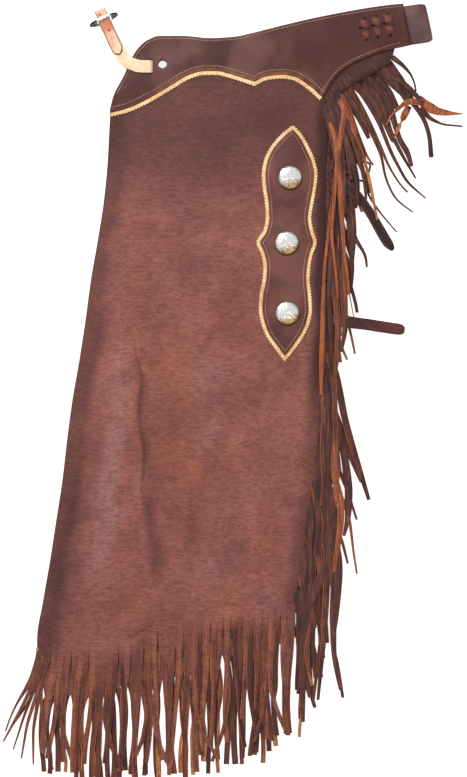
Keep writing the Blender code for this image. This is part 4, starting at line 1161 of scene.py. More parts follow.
def side_panel():
    outline = plate_line(0.0)
    closed = np.concatenate([outline, outline[:1]])
    teeth, _ = toothed(closed, -1, 0, 0.35)
    trim = flat_piece("concho_trim_hide", [teeth[:-1]], TRIM_LOW, TRIM_THICK, tan_finish)
    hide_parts("concho_trim")
    inner = spaced(plate_line(PLATE_RIM), 1.6)
    under = flat_piece("concho_plate_cut_edge", [spaced(plate_line(PLATE_RIM - 0.9), 1.6)], 13.95,
                       0.5, bevel_finish, 0.1)
    plate = flat_piece("concho_plate_hide", [inner], PLATE_FACE - 2.0, 2.0, plate_finish, 0.55)
    plate.data.shade_smooth()
    plate.data.set_sharp_from_angle(angle=math.radians(50))
    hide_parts("concho_plate")
    seam = plate_line(PLATE_RIM + 3.2)
    seam = np.concatenate([seam, seam[:1]])
    sewn = stitches("concho_plate_stitches", [(seam, lambda x, y: PLATE_FACE)], thread)
    return trim, plate


plate_backing, plate_piece = side_panel()


# %% Beaten buttons
BUTTON_SEAT = 16.5


def button(name, node, x, y, seed):
    """A dome 31.8 mm wide and 5.2 mm high with a rolled rim."""
    radius, high, turns = 15.9, 5.2, 96
    profile = [(0.0, radius - 1.2), (0.0, radius - 0.5), (0.5, radius), (1.1, radius - 0.1),
               (1.4, radius - 0.6)]
    for angle in np.linspace(80, 0, 22)[:-1]:
        a = math.radians(angle)
        profile.append((1.2 + (high - 1.2) * math.cos(a), (radius - 0.5) * math.sin(a)))
    points, faces, dulled = [], [], []
    for level, (z, r) in enumerate(profile):
        for k in range(turns):
            a = 2 * math.pi * k / turns
            px, py = r * math.cos(a), r * math.sin(a)
            dent = 0.0
            if level > 5:
                near = noise.voronoi(Vector((px / 3.0, py / 3.0, seed * 7.3)))[0]
                dent = min(0.55, near[0]) ** 2 * 1.1 * min(1.0, (radius - r) / 2 + 0.2)
            points.append((x + px, y + py, BUTTON_SEAT + z + dent - 0.3 * (level > 5)))
            # painted reflection: dull gold on the dome's lower side and round its rim
            down = (0.3 * px - py) / radius
            dulled.append(min(1.0, max(0.0, down + 0.25)) * 0.9
                           + 0.3 * float(smooth((r / radius - 0.9) / 0.1)))
    for level in range(len(profile) - 1):
        for k in range(turns):
            n = (k + 1) % turns
            a, b = level * turns, (level + 1) * turns
            faces.append((a + k, a + n, b + n, b + k))
    last = (len(profile) - 1) * turns
    points.append((x, y, BUTTON_SEAT + high - 0.3))
    points.append((x, y, BUTTON_SEAT))
    dulled += [0.0, 1.0]
    tip, foot = len(points) - 2, len(points) - 1
    for k in range(turns):
        n = (k + 1) % turns
        faces.append((last + k, last + n, tip))
        faces.append((n, k, foot))
    made = piece(name, points, faces, [silver], values={"dulled": np.array(dulled)})
    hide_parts(node)


for number, (x, y) in enumerate(CONCHOS_AT, start=1):
    button(f"button_{number}", f"concho_{number}", x, y, number)
print("button:", made_triangles["button_1"], "triangles each")


# %% [markdown]
# ## Belt and lacing
# The belt is folded in half at the centre back, and its ends run between the yokes. Three laces
# pin it: each is a flat thong that crosses itself twice, so two loops show.

# %% Belt
BELT_FOLD = (250.9, 486.4)
BELT_TILT = 8.5      # degrees from level along the belt
FOLD_TILT = 12.0     # the fold itself isn't quite square to the belt


def belt():
    near_mid, far_mid = 7.9, 1.62
    bend = (near_mid - far_mid) / 2
    path = [(-66.0, near_mid, 49), (-34.5, near_mid, 49.4), (-12, near_mid + 0.1, 49.8),
            (-3, near_mid, 49.4)]
    path += [(bend * math.sin(math.radians(a)) * 1.15,
              4.75 + bend * math.cos(math.radians(a)), 49 - 2.2 * math.sin(math.radians(a)))
             for a in range(20, 180, 20)]
    path += [(-3, far_mid, 49.4), (-34.5, far_mid, 49.4), (-66.0, far_mid, 49)]
    tilt = math.radians(BELT_TILT)
    rows = [(BELT_FOLD[0] + d * math.cos(tilt), BELT_FOLD[1] + d * math.sin(tilt), z,
             mix(BELT_TILT, FOLD_TILT, float(smooth((d + 30) / 30))), wide)
            for d, z, wide in path]
    made = strap("belt_hide", rows, 3.2, [belt_finish] * 3, 1.2, 0.3)
    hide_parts("belt_back")


belt()


# %% Thongs and strands
class Bundle:
    """Many flat thongs in one mesh. Each has a grain side, cut edges and a flesh side."""

    def __init__(self):
        self.points, self.faces, self.slots, self.values = [], [], [], {}

    def add(self, path, left, right, thick, values, twist=0.0, soft=(1.0, 1.0), follow=None):
        """left and right are reaches from the path; soft rounds each edge, from 0 to 1.

        follow is a height function and how far each point takes its height from it.
        """
        path = np.asarray(path, float)
        count = len(path)
        ahead = np.gradient(path, axis=0)
        ahead /= np.maximum(np.linalg.norm(ahead, axis=1, keepdims=True), 1e-9)
        side = np.cross(ahead, [0, 0, 1.0])
        side /= np.maximum(np.linalg.norm(side, axis=1, keepdims=True), 1e-9)
        up = np.cross(side, ahead)
        turn = np.broadcast_to(twist, count)
        cut_left, cut_right = (np.broadcast_to(value, count) > 0.5 for value in soft)
        section = [(-1.0, 0.5 - 0.5 * soft[0]), (-0.8, 0.5), (0.0, 0.54), (0.8, 0.5),
                   (1.0, 0.5 - 0.5 * soft[1]), (0.85, -0.5), (-0.85, -0.5)]
        rings = []
        for across, lift in section:
            a = np.where(across < 0, across * left, across * right)
            b = lift * thick + 0 * a
            rings.append(path + side * (a * np.cos(turn) - b * np.sin(turn))[:, None]
                         + up * (a * np.sin(turn) + b * np.cos(turn))[:, None])
        rings = np.stack(rings, 1)
        if follow:
            height, weight = follow
            lift = height(rings[..., 0], rings[..., 1]) - height(path[:, :1], path[:, 1:2])
            rings[..., 2] += lift * weight[:, None]
        rings[..., 2] = np.maximum(rings[..., 2], 0.1)
        sides = len(section)
        start = len(self.points)
        self.points += rings.reshape(-1, 3).tolist()
        for r in range(count - 1):
            at = start + r * sides
            kinds = (int(cut_left[r]), 0, 0, int(cut_right[r]), 1, 2, 1)
            for j in range(sides):
                n = (j + 1) % sides
                self.faces.append((at + j, at + n, at + sides + n, at + sides + j))
                self.slots.append(kinds[j])
        end = start + count * sides
        self.faces += [tuple(range(start + sides - 1, start - 1, -1)),
                       tuple(range(end - sides, end))]
        self.slots += [1, 1]
        for key, numbers in values.items():
            spread = np.repeat(np.broadcast_to(numbers, count), sides)
            self.values.setdefault(key, []).append(spread)
        # rim is 1 on a thong's edges and 0 along its middle; the finishes paint shade where it is high
        rim = np.tile([1.0, 0.75, 0.0, 0.75, 1.0, 0.5, 0.5], count)
        self.values.setdefault("rim", []).append(rim)

    def finish(self, name, finishes):
        values = {key: np.concatenate(parts) for key, parts in self.values.items()}
        made = piece(name, self.points, self.faces, finishes, self.slots, values)
        made.data.set_sharp_from_angle(angle=math.radians(48))
        return made


# %% Lacing
LACE_CROSSINGS = [[(170.3, 484.0), (172.3, 469.6)], [(185.9, 487.0), (187.6, 473.0)],
                  [(201.2, 490.2), (203.4, 475.6)]]


def laces():
    """Each lace crosses over itself twice, and its ends dive into punched holes, shown as dark discs of
    painted shade.
    """
    holes = Bundle()
    for number, crossings in enumerate(LACE_CROSSINGS, start=1):
        bundle = Bundle()
        for cx, cy in crossings:
            for sign in (-1, 1):
                t = np.linspace(-1, 1, 15)
                px = cx + sign * t * 4.9 + 0.9 * t
                py = cy - t * 5.6
                arch = 1.9 * (1 - np.abs(t) ** 2.4)
                z = yoke_top(px, py) - 0.9 + arch + (0.8 if sign > 0 else 0.0) * (1 - t * t)
                half = 4.3 * (1 - 0.55 * np.abs(t) ** 1.8)
                # a painted highlight on the crown of each loop
                values = {"wear_and_highlight": 0.2 + 0.6 * (1 - np.abs(t))}
                bundle.add(np.stack([px, py, z], 1), half, half, 1.3, values)
        (ux, uy), (lx, ly) = crossings
        spots = [((ux + lx) / 2 - 4.6, (uy + ly) / 2 + 0.6, 3.8), (ux + 0.6, uy + 6.6, 1.7),
                 (lx + 0.6, ly - 6.8, 1.9), ((ux + lx) / 2 + 5.6, (uy + ly) / 2, 1.6)]
        for hx, hy, half in spots:
            t = np.linspace(-1, 1, 9)
            z = yoke_top(hx + 0 * t, hy + t * 2) - 0.16
            holes.add(np.stack([hx - 0.2 * t, hy - t * half, z], 1),
                      half * np.sqrt(1.02 - t * t), half * np.sqrt(1.02 - t * t), 0.6,
                      {"wear_and_highlight": 0 * t})
        made = bundle.finish(f"lacing_{number}_thong", [lace_finish] * 3)
        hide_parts(f"lacing_{number}")
    shadow = holes.finish("lacing_hole_shades", [hole_shade_finish] * 3)


laces()


# %% [markdown]
# ## Fringe
# The hems and the back seams of both legs are slit into strands. A strand leaves its root in
# line with the cut, then the garment's weight and handling lay it over. Neighbours fall alike,
# so one table says how the tips shift along an edge, and small seeded differences do the rest.
# A few strands that stray far are placed one by one.

# %% How strands fall
NEAR_HEM_FALL = [(-250, -60, -104), (-240, -42, -122), (-230, -27, -140), (-216, -14, -160),
                 (-190, -6, -184), (-130, -3, -184), (-70, 2, -196), (-10, 2, -196),
                 (25, 0, -190), (50, -2, -170), (82, 2, -158)]
FAR_HEM_FALL = [(-246, -14, -92), (-222, -4, -108), (-150, 2, -116), (-60, 3, -140),
                (20, 2, -146), (60, 1, -132), (87, 4, -128)]
SIDE_FALL = [(437, 88, -66), (428, 64, -112), (412, 56, -132), (397, 70, -134), (384, 60, -132),
             (370, 40, -140), (340, 27, -150), (300, 22, -150), (250, 30, -140), (200, 26, -130),
             (150, 16, -138), (90, 14, -150), (30, 18, -156), (-20, 26, -160), (-60, 30, -168),
             (-100, 28, -168), (-150, 28, -166), (-200, 32, -172), (-240, 28, -172),
             (-262, 22, -168)]
HEM_CLUMPS = [-302, -290, -276, -262, -248, -226, -207, -196, -178, -160, -146, -128,
              -112, -98, -78, -64, -50, -34, -18, -2, 12, 28, 40, 58, 72, 88]
STRAND_THICK = 1.4
FRONT_LIMIT = -297      # the strands stay inside the picture's left side
FAN_END = 50            # picture points; strands that start left of it fan out and taper
dice = random.Random(23)


def px(u, v):
    """A place in the picture as x and y on the table."""
    return ((u - 233) * MM_PER_PIXEL, (396.5 - v) * MM_PER_PIXEL)


def along_curve(points, step):
    """Evenly spaced points along a smooth curve through a few."""
    line = np.array(points, float)
    runs = np.r_[0, np.cumsum(np.linalg.norm(np.diff(line, axis=0), axis=1))]
    fine = np.linspace(0, runs[-1], 200)
    smoothed = np.stack([np.interp(fine, runs, line[:, k]) for k in (0, 1)], 1)
    reach = 22
    padded = np.pad(smoothed, ((reach, reach), (0, 0)), mode="reflect", reflect_type="odd")
    kernel = np.hanning(2 * reach + 1)
    kernel /= kernel.sum()
    smoothed = np.stack([np.convolve(padded[:, k], kernel, "valid") for k in (0, 1)], 1)
    return spaced(smoothed, step)


def fall(root, shift, way, bow, count, wave):
    """A strand's way on the table from its root (x, y) to its tip."""
    t = np.linspace(0, 1, count) ** 1.15
    start, shift = np.array(root, float), np.array(shift, float)
    way = np.array(way, float) / np.linalg.norm(way)
    tip = start + shift
    first = start + way * 0.3 * np.linalg.norm(shift)
    third = tip - shift * 0.36 + np.array([bow, 0])
    b = [math.comb(3, k) * t ** k * (1 - t) ** (3 - k) for k in range(4)]
    line = sum(b[k][:, None] * p for k, p in enumerate((start, first, third, tip)))
    line[:, 0] += wave * np.sin(t * dice.uniform(4, 8) + dice.uniform(0, 6)) * smooth(t * 2 - 0.3)
    return line


# %% Fringe of the near hem
# Strands that fan out at the front corner or cross their neighbours: their way in picture
# points, and how lit they are.
HEM_LOOSE = [
    ([(45, 650), (36, 678), (20, 711), (3, 742)], 0.4),
    ([(46, 650), (36, 684), (24, 716), (13, 750)], 0.15),
    ([(47, 652), (38, 690), (27, 724), (21, 759)], 0.55),
    ([(48, 654), (39, 694), (33, 730), (33, 765)], 0.25),
    ([(49, 656), (40, 690), (43, 728), (53, 770)], 0.45),
    ([(64, 656), (61, 684), (57, 708), (64, 736), (73, 765)], 0.25),
    ([(112, 654), (108, 690), (104, 716), (110, 744), (123, 771)], 0.2),
    ([(136, 652), (142, 688), (147, 716), (142, 742), (131, 766)], 0.5),
    ([(160, 648), (157, 684), (152, 712), (158, 742), (170, 769)], 0.85),
    ([(198, 640), (198, 676), (194, 702), (203, 734), (217, 758)], 0.6),
    ([(222, 634), (228, 668), (229, 700), (223, 732), (212, 762)], 0.3),
    ([(262, 624), (268, 654), (268, 684), (263, 716), (254, 742)], 0.25),
    ([(276, 624), (275, 652), (269, 682), (276, 708), (286, 732)], 0.55),
]


def near_hem_strands():
    """The leg itself, cut from each slit's end downwards, so grain and colour run on."""
    shift_x, shift_y = through(NEAR_HEM_FALL, 1), through(NEAR_HEM_FALL, 2)
    bundle = Bundle()
    cuts = [-255.5]
    while cuts[-1] < 76:
        cuts.append(cuts[-1] + dice.uniform(6.6, 10.2))
    cuts[-1] = 81.5
    slits = [dice.uniform(2, 26) + 30 * float(smooth((-60 - x) / 90)) * dice.random()
             for x in cuts]
    slits[0] = slits[-1] = 0.0
    for k in range(len(cuts) - 1):
        x = (cuts[k] + cuts[k + 1]) / 2
        half = (cuts[k + 1] - cuts[k]) / 2
        root = (x, float(near_hem(x)) + 3.4)
        shift = [float(shift_x(x)), float(shift_y(x)) + dice.uniform(-14, 22)]
        tip = x + shift[0]
        clump = min(HEM_CLUMPS, key=lambda c: abs(c - tip))
        shift[0] = max(shift[0] + 0.6 * (clump - tip) + dice.gauss(0, 6), FRONT_LIMIT - x)
        line = fall(root, shift, (shift[0] * 0.10, shift[1] * 0.8), dice.uniform(-10, 10), 24, 1.8)
        away = np.linalg.norm(line - line[0], axis=1)
        step_off = (0.9, -0.2, -0.8)[k % 3] + dice.uniform(-0.3, 0.3)
        top = worn_height(line[:, 0], line[:, 1]) + 0.03 - 0.54 * STRAND_THICK
        parted = smooth((away - max(slits[k], slits[k + 1])) / 26)
        z = mix(top, 5.2, smooth((away - 3) / 46)) + step_off * parted
        narrow = dice.uniform(0.02, 0.26) * smooth((away - 34) / 80) + 0.02
        narrow += 0.55 * smooth((-232 - x) / 8) * smooth((away - 20) / 60)
        left = half * (1.01 - narrow * smooth((away - slits[k]) / 30))
        right = half * (1.01 - narrow * smooth((away - slits[k + 1]) / 30))
        turned = dice.random() < 0.08
        twist = dice.choice((-1, 1)) * (dice.uniform(1.2, 3.0) if turned else
                                        dice.uniform(0, 0.6)) * smooth((away - 50) / 80)
        soft_left = smooth((away - slits[k]) / 6)
        soft_right = smooth((away - slits[k + 1]) / 6)
        age = tone_and_painted_light(line[:1, 0], line[:1, 1])
        own = dice.uniform(0.12, 0.95)
        shade = leg_shade(line[:, 0], np.maximum(line[:, 1], near_hem(line[:, 0]) + 1))
        shade = mix(shade, own, smooth((away - 6) / 44))
        rust = mix(age["rust"], dice.choice((0.2, 0.5, 1.0)), smooth((away - 10) / 50))
        bundle.add(np.c_[line, z], left, right, STRAND_THICK,
                   {"shade": shade, "rust": rust, "grey_and_sheen": age["grey_and_sheen"] * np.exp(-away / 30),
                    "parted": parted},
                   twist, (soft_left, soft_right), (worn_height, 1 - smooth((away - 4) / 14)))
    for spots, own in HEM_LOOSE:
        line = along_curve([px(*spot) for spot in spots], 6)
        t = np.linspace(0, 1, len(line))
        z = mix(3.2, 7.4, smooth(t * 2.6 - 0.5)) - 1.6 * smooth(t * 3 - 2)
        half = dice.uniform(3.0, 3.8) * (1 - 0.25 * t)
        if spots[0][0] < FAN_END:
            half = half * (0.9 - 0.5 * t ** 2)
        bundle.add(np.c_[line, z], half, half, STRAND_THICK,
                   {"shade": own + 0.2 * t, "rust": 1.1 - own + 0 * t, "grey_and_sheen": 0 * t,
                    "parted": 1 + 0 * t},
                   dice.uniform(-0.5, 0.5) * t)
    made = bundle.finish("hem_strands", [cut_leg_finish, slit_finish, strand_flesh])
    print("hem strands:", len(cuts) - 1, "with", made_triangles["hem_strands"], "triangles")
    return made


near_hem_piece = near_hem_strands()
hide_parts("hem_fringe")


# %% Fringe of the far hem
def far_hem_strands():
    shift_x, shift_y = through(FAR_HEM_FALL, 1), through(FAR_HEM_FALL, 2)
    bundle = Bundle()
    x = -243.0
    while x < 84:
        half = dice.uniform(3.2, 4.4)
        x += half
        shift = [float(shift_x(x)), float(shift_y(x)) + dice.uniform(-10, 14)]
        tip = x + shift[0]
        clump = min(HEM_CLUMPS, key=lambda c: abs(c - tip))
        shift[0] += 0.5 * (clump - tip) + dice.uniform(-3, 3)
        root = (x, float(far_hem(x)) + 1.5)
        line = fall(root, shift, (shift[0] * 0.1, -1), dice.uniform(-5, 5), 18, 1.5)
        away = np.linalg.norm(line - line[0], axis=1)
        z = mix(2.2, dice.choice((1.0, 1.6)), smooth(away / 26))
        wide = half * (1.0 - dice.uniform(0.0, 0.25) * smooth(away / 90))
        twist = dice.choice((0, 0, 0, 0, 1, -1)) * 2.6 * smooth((away - 40) / 60)
        bundle.add(np.c_[line, z], wide, wide, 1.3, {"tone": dice.uniform(0.2, 0.75)}, twist)
        x += half + 0.3
    return bundle.finish("under_hem_strands", [strand_finish, strand_edge, strand_flesh])


far_hem_piece = far_hem_strands()
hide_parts("under_hem_fringe")


# %% Strands that stray
# Each row holds the height it rests at, its tone, its twist, 1 where it starts on the band below
# the yoke, its way in picture points, and its widths along that way.
STRAYS = [
    (4.9, 0.05, 0.15, 0, [(374, 56), (388, 66), (400, 79), (409, 92), (414, 102)], [18, 17, 13, 9, 5]),
    (4.6, 0.1, 0.15, 0, [(360, 64), (375, 78), (389, 93), (399, 110)], [20, 18, 13, 6]),
    (4.9, 0.1, 0.15, 0, [(346, 70), (362, 86), (377, 104), (387, 124), (393, 140)],
     [20, 19, 15, 10, 6]),
    (4.6, 0.15, 0.15, 0, [(334, 80), (348, 96), (360, 116), (369, 138)], [18, 16, 11, 5]),
    (13.6, 0.2, 0.15, 0, [(330, 92), (340, 116), (347, 142), (350, 164), (351, 180)],
     [8, 10, 10, 8, 4]),
    (13.2, 0.3, 0.15, 0, [(332, 88), (347, 114), (358, 138), (364, 156), (366, 168)], [8, 9, 9, 7, 3]),
    (14, 0.15, 0.15, 0, [(327, 96), (336, 126), (341, 156), (344, 186), (345, 214)], [8, 10, 10, 8, 4]),
    (6.8, 0.1, 0.15, 0, [(346, 176), (352, 205), (354, 232), (352, 262), (350, 290)], [6, 8, 8, 6, 3]),
    (12.2, 0.35, 0.15, 0, [(334, 240), (341, 280), (345, 312), (345, 332), (341, 352)],
     [5, 8, 9, 8, 4]),
    (12.6, 0.5, 0.15, 0, [(329, 246), (334, 284), (338, 322), (338, 350), (335, 376)], [5, 8, 8, 8, 4]),
    (10.6, 0.55, 0.15, 0, [(329, 352), (334, 380), (335, 407), (336, 441), (340, 472)],
     [5, 7, 7, 7, 4]),
    (7.8, 0.12, 0.15, 0, [(336, 420), (345, 458), (349, 490), (348, 520), (344, 536)],
     [7, 9, 11, 10, 4]),
    (10.4, 0.8, 0.15, 0, [(326, 440), (335, 478), (341, 500), (341, 522), (338, 546), (334, 572)],
     [5, 7, 9, 9, 7, 4]),
    (9.8, 0.35, 0.15, 0, [(322, 462), (333, 500), (337, 540), (335, 580), (333, 620), (334, 660),
                          (340, 690)], [6, 10, 11, 11, 10, 7, 3]),
    (10.2, 0.5, 0.15, 0, [(316, 500), (326, 545), (327, 575), (326, 600), (324, 635), (321, 668),
                          (318, 700)], [5, 8, 9, 9, 8, 6, 4]),
    (10.6, 0.2, 0.15, 0, [(306, 520), (312, 552), (313, 590), (308, 620), (303, 650)], [5, 8, 8, 6, 3]),
    (13.4, 0.12, 0.15, 0, [(325, 104), (331, 132), (337, 160), (341, 190), (342, 236), (341, 262)],
     [8, 9, 9, 7, 6, 4]),
    (9, 0.2, 0.15, 0, [(392, 57), (403, 65), (411, 74), (415, 84), (416, 91)], [3, 3, 2.5]),
    (8, 0.1, 0.15, 0, [(371, 64), (383, 73), (400, 80), (412, 90), (422, 102)], [9, 8, 6]),
    (7.6, 0.95, 0.5, 0, [(418, 98), (426, 105), (437, 111), (450, 113), (463, 113.6)], [6, 12, 9, 1]),
    (6, 0.4, 0.15, 0, [(420, 108), (430, 118), (443, 124), (463, 126)], [4, 3, 2.5]),
    (6, 0.05, 0.15, 1, [(373, 66), (388, 80), (404, 94), (415, 104), (425, 120), (430, 136),
                        (431.5, 157)], [6, 8, 8, 7, 6, 6, 6.5]),
    (7.2, 0.25, 0.15, 1, [(352, 80), (366, 92), (378, 108), (386, 124), (393, 142)], [5, 8, 8, 6, 3]),
    (15.8, 0.4, 0.15, 0, [(338, 104), (350, 130), (359, 156), (364, 178), (366, 200)], [6, 7, 7, 6, 3]),
    (15.2, 0.12, 0.15, 0, [(334, 110), (344, 134), (352, 158), (357, 180), (358, 206)],
     [7, 8, 8, 7, 4]),
    (9.4, 0.9, 1.2, 0, [(424, 103), (411, 101), (403, 104), (392, 115), (386, 125)], [4, 5, 6, 4, 2]),
    (9.6, 1, 3.1, 0, [(409, 106), (402, 120), (394, 138)], [4, 9, 2]),
    (7.4, 0.15, 0.15, 0, [(380, 66), (393, 80), (402, 92), (409, 104)], [10, 9, 7]),
    (6.6, 0.08, 0.15, 1, [(366, 76), (378, 86), (388, 98), (394, 120), (400, 140), (408, 152),
                          (412, 166)], [11, 11, 10, 8, 7, 8, 5]),
    (5.2, 0.2, 0.5, 1, [(358, 70), (372, 84), (384, 104), (390, 130), (401, 152), (416, 178)],
     [8, 8, 7, 6, 2.5]),
    (7.2, 0.35, 0.15, 1, [(346, 74), (357, 86), (366, 98), (379, 121), (391, 152), (407, 182),
                          (426, 198)], [8, 8, 6, 5, 4, 2]),
    (5.6, 0.5, 0.15, 1, [(343, 78), (356, 96), (368, 118), (379, 142), (389, 166), (400, 184),
                         (408, 192)], [7, 6, 5, 4.5, 3, 2.5]),
    (8.4, 0.3, 0.15, 1, [(337, 80), (346, 93), (356, 107), (370, 129), (382, 156), (385, 177),
                         (395, 199), (413, 212)], [7, 7, 5.5, 4.5, 3.5, 3, 2]),
    (16, 0.85, 0.15, 0, [(339, 90), (344.5, 104), (344, 116), (339, 144), (335, 185), (331, 237),
                         (335, 264), (338, 299)], [6, 6.5, 6, 5, 4.5, 4, 4, 3]),
    (8.6, 0.7, 0.6, 0, [(333, 88), (342, 99), (350, 113), (360, 139), (368, 158), (373.5, 165)],
     [7, 7.5, 6, 4.5, 3]),
    (15.4, 0.75, 3.1, 0, [(334, 92), (346, 112), (356, 134), (362, 150), (366, 166), (370, 184),
                          (377, 220)], [6, 8, 7, 5, 4, 3]),
    (7, 0.2, 0.15, 0, [(328, 94), (338, 110), (346, 132), (352, 160), (356, 186), (356, 206)],
     [7, 9, 9, 7, 5]),
    (6.6, 0.12, 0.15, 0, [(325, 102), (332, 118), (338, 146), (345, 176), (348, 206), (349, 240)],
     [7, 8, 7, 6, 5]),
    (6.4, 0.3, 0.15, 0, [(358, 150), (364, 176), (369, 196), (380, 212), (397, 232)], [4, 3, 2]),
    (6.6, 0.3, 0.15, 0, [(332, 160), (340, 192), (346, 214), (355, 238), (366, 255), (367, 267)],
     [6, 6, 6.5, 3]),
    (5.6, 0.15, 0.15, 0, [(328, 130), (338, 160), (344, 190), (350, 226), (353, 268), (350, 293)],
     [5, 4, 5, 6]),
    (15.2, 0.95, 0.4, 0, [(325, 112), (335, 136), (341, 197), (343.5, 247), (347.6, 278),
                          (349, 295)], [5, 6, 6, 5, 3]),
    (13, 0.6, 0.15, 0, [(323, 108), (334, 134), (338, 170), (341, 214), (344, 262), (347, 319)],
     [6, 6, 6, 6, 6, 3]),
    (12.4, 0.9, 0.3, 0, [(331, 200), (328, 236), (324, 270), (323, 310), (322, 350), (321, 395)],
     [3, 4, 4, 6, 7, 4]),
    (12.8, 0.2, 0.15, 0, [(330, 214), (331, 250), (329, 296), (331, 340), (330, 372)], [4, 6, 7, 6, 3]),
    (7.4, 0.6, 0.15, 0, [(321, 226), (332, 262), (340, 290), (347, 318), (352, 338), (355, 354)],
     [5, 5, 4, 3]),
    (8.4, 0.4, 0.15, 0, [(317, 330), (326, 350), (336, 372), (345, 420), (356, 458), (369, 500)],
     [6, 9, 9.5, 9, 8, 5]),
    (6, 0.3, 0.15, 0, [(315, 366), (328, 394), (340, 425), (350, 455), (362, 482)], [6, 8, 8, 6]),
    (6.8, 0.4, 0.15, 0, [(312, 404), (322, 432), (336, 462), (348, 492), (357, 520)], [7, 6, 5, 3]),
    (7.6, 0.75, 0.4, 0, [(310, 438), (324, 468), (340, 492), (350, 520), (353, 548), (357, 574)],
     [6, 6, 5, 4, 3]),
    (6.6, 0.3, 0.15, 0, [(304, 472), (320, 501), (332, 520), (342, 540), (348, 564)], [6, 6, 5, 3]),
    (11.4, 0.3, 0.15, 0, [(319, 448), (326, 474), (332, 504), (331, 540), (321, 580), (309, 606),
                          (304, 618), (303, 660), (303, 722)], [6, 8, 10, 11, 11, 9, 8, 7, 5]),
    (8.2, 0.4, 0.15, 0, [(293, 560), (305, 584), (318, 606), (323, 622), (319, 655), (313, 703)],
     [5, 6, 6, 5, 4]),
    (7.4, 0.3, 0.15, 0, [(304, 476), (322, 508), (332, 536), (338, 562), (338, 596), (335, 622),
                         (331, 640), (338, 668), (343, 698)], [7, 8, 7, 6, 4, 6, 4]),
    (6.4, 0.15, 0.15, 0, [(306, 482), (326, 516), (338, 546), (341, 570), (339, 600), (336, 628),
                          (333, 641)], [7, 8, 7, 5, 3]),
    (11.4, 0.2, 0.15, 0, [(326, 378), (328, 402), (330, 430), (328, 458), (330, 486)], [9, 9, 9, 7, 5]),
    (12.2, 0.45, 0.15, 0, [(324, 398), (325, 424), (323, 452), (325, 482), (322, 506)],
     [9, 10, 9, 8, 5]),
    (10.8, 0.1, 0.15, 0, [(321, 420), (323, 446), (326, 474), (324, 502), (327, 530)],
     [9, 9, 10, 8, 5]),
    (12, 0.3, 0.15, 0, [(317, 446), (319, 472), (317, 500), (319, 528), (315, 556)], [9, 10, 9, 8, 5]),
    (11.2, 0.55, 0.15, 0, [(313, 470), (316, 496), (320, 524), (318, 552), (321, 580)],
     [9, 9, 10, 9, 6]),
    (12.2, 0.15, 0.15, 0, [(309, 496), (311, 520), (309, 548), (311, 576), (307, 604)],
     [9, 10, 9, 8, 5]),
    (11, 0.4, 0.15, 0, [(306, 518), (309, 544), (313, 572), (311, 600), (315, 628)], [9, 9, 9, 8, 5]),
    (11.8, 0.25, 0.15, 0, [(303, 542), (305, 568), (303, 596), (306, 622), (302, 650)],
     [9, 10, 9, 8, 5]),
    (11.2, 0.6, 0.15, 0, [(300, 566), (304, 592), (308, 618), (306, 646), (309, 672)],
     [9, 9, 10, 8, 5]),
    (10.6, 0.2, 0.15, 0, [(298, 590), (300, 616), (299, 642), (302, 668), (298, 694)], [9, 9, 9, 8, 5]),
    (10.2, 0.7, 0.15, 0, [(322, 388), (327, 416), (334, 446), (337, 476), (335, 508)], [7, 9, 9, 8, 5]),
    (8.4, 0.85, 0.5, 0, [(300, 490), (316, 516), (326, 542), (330, 570), (334, 600), (331, 636),
                         (335, 664), (341, 688)], [6, 6, 6, 4, 5, 3]),
]


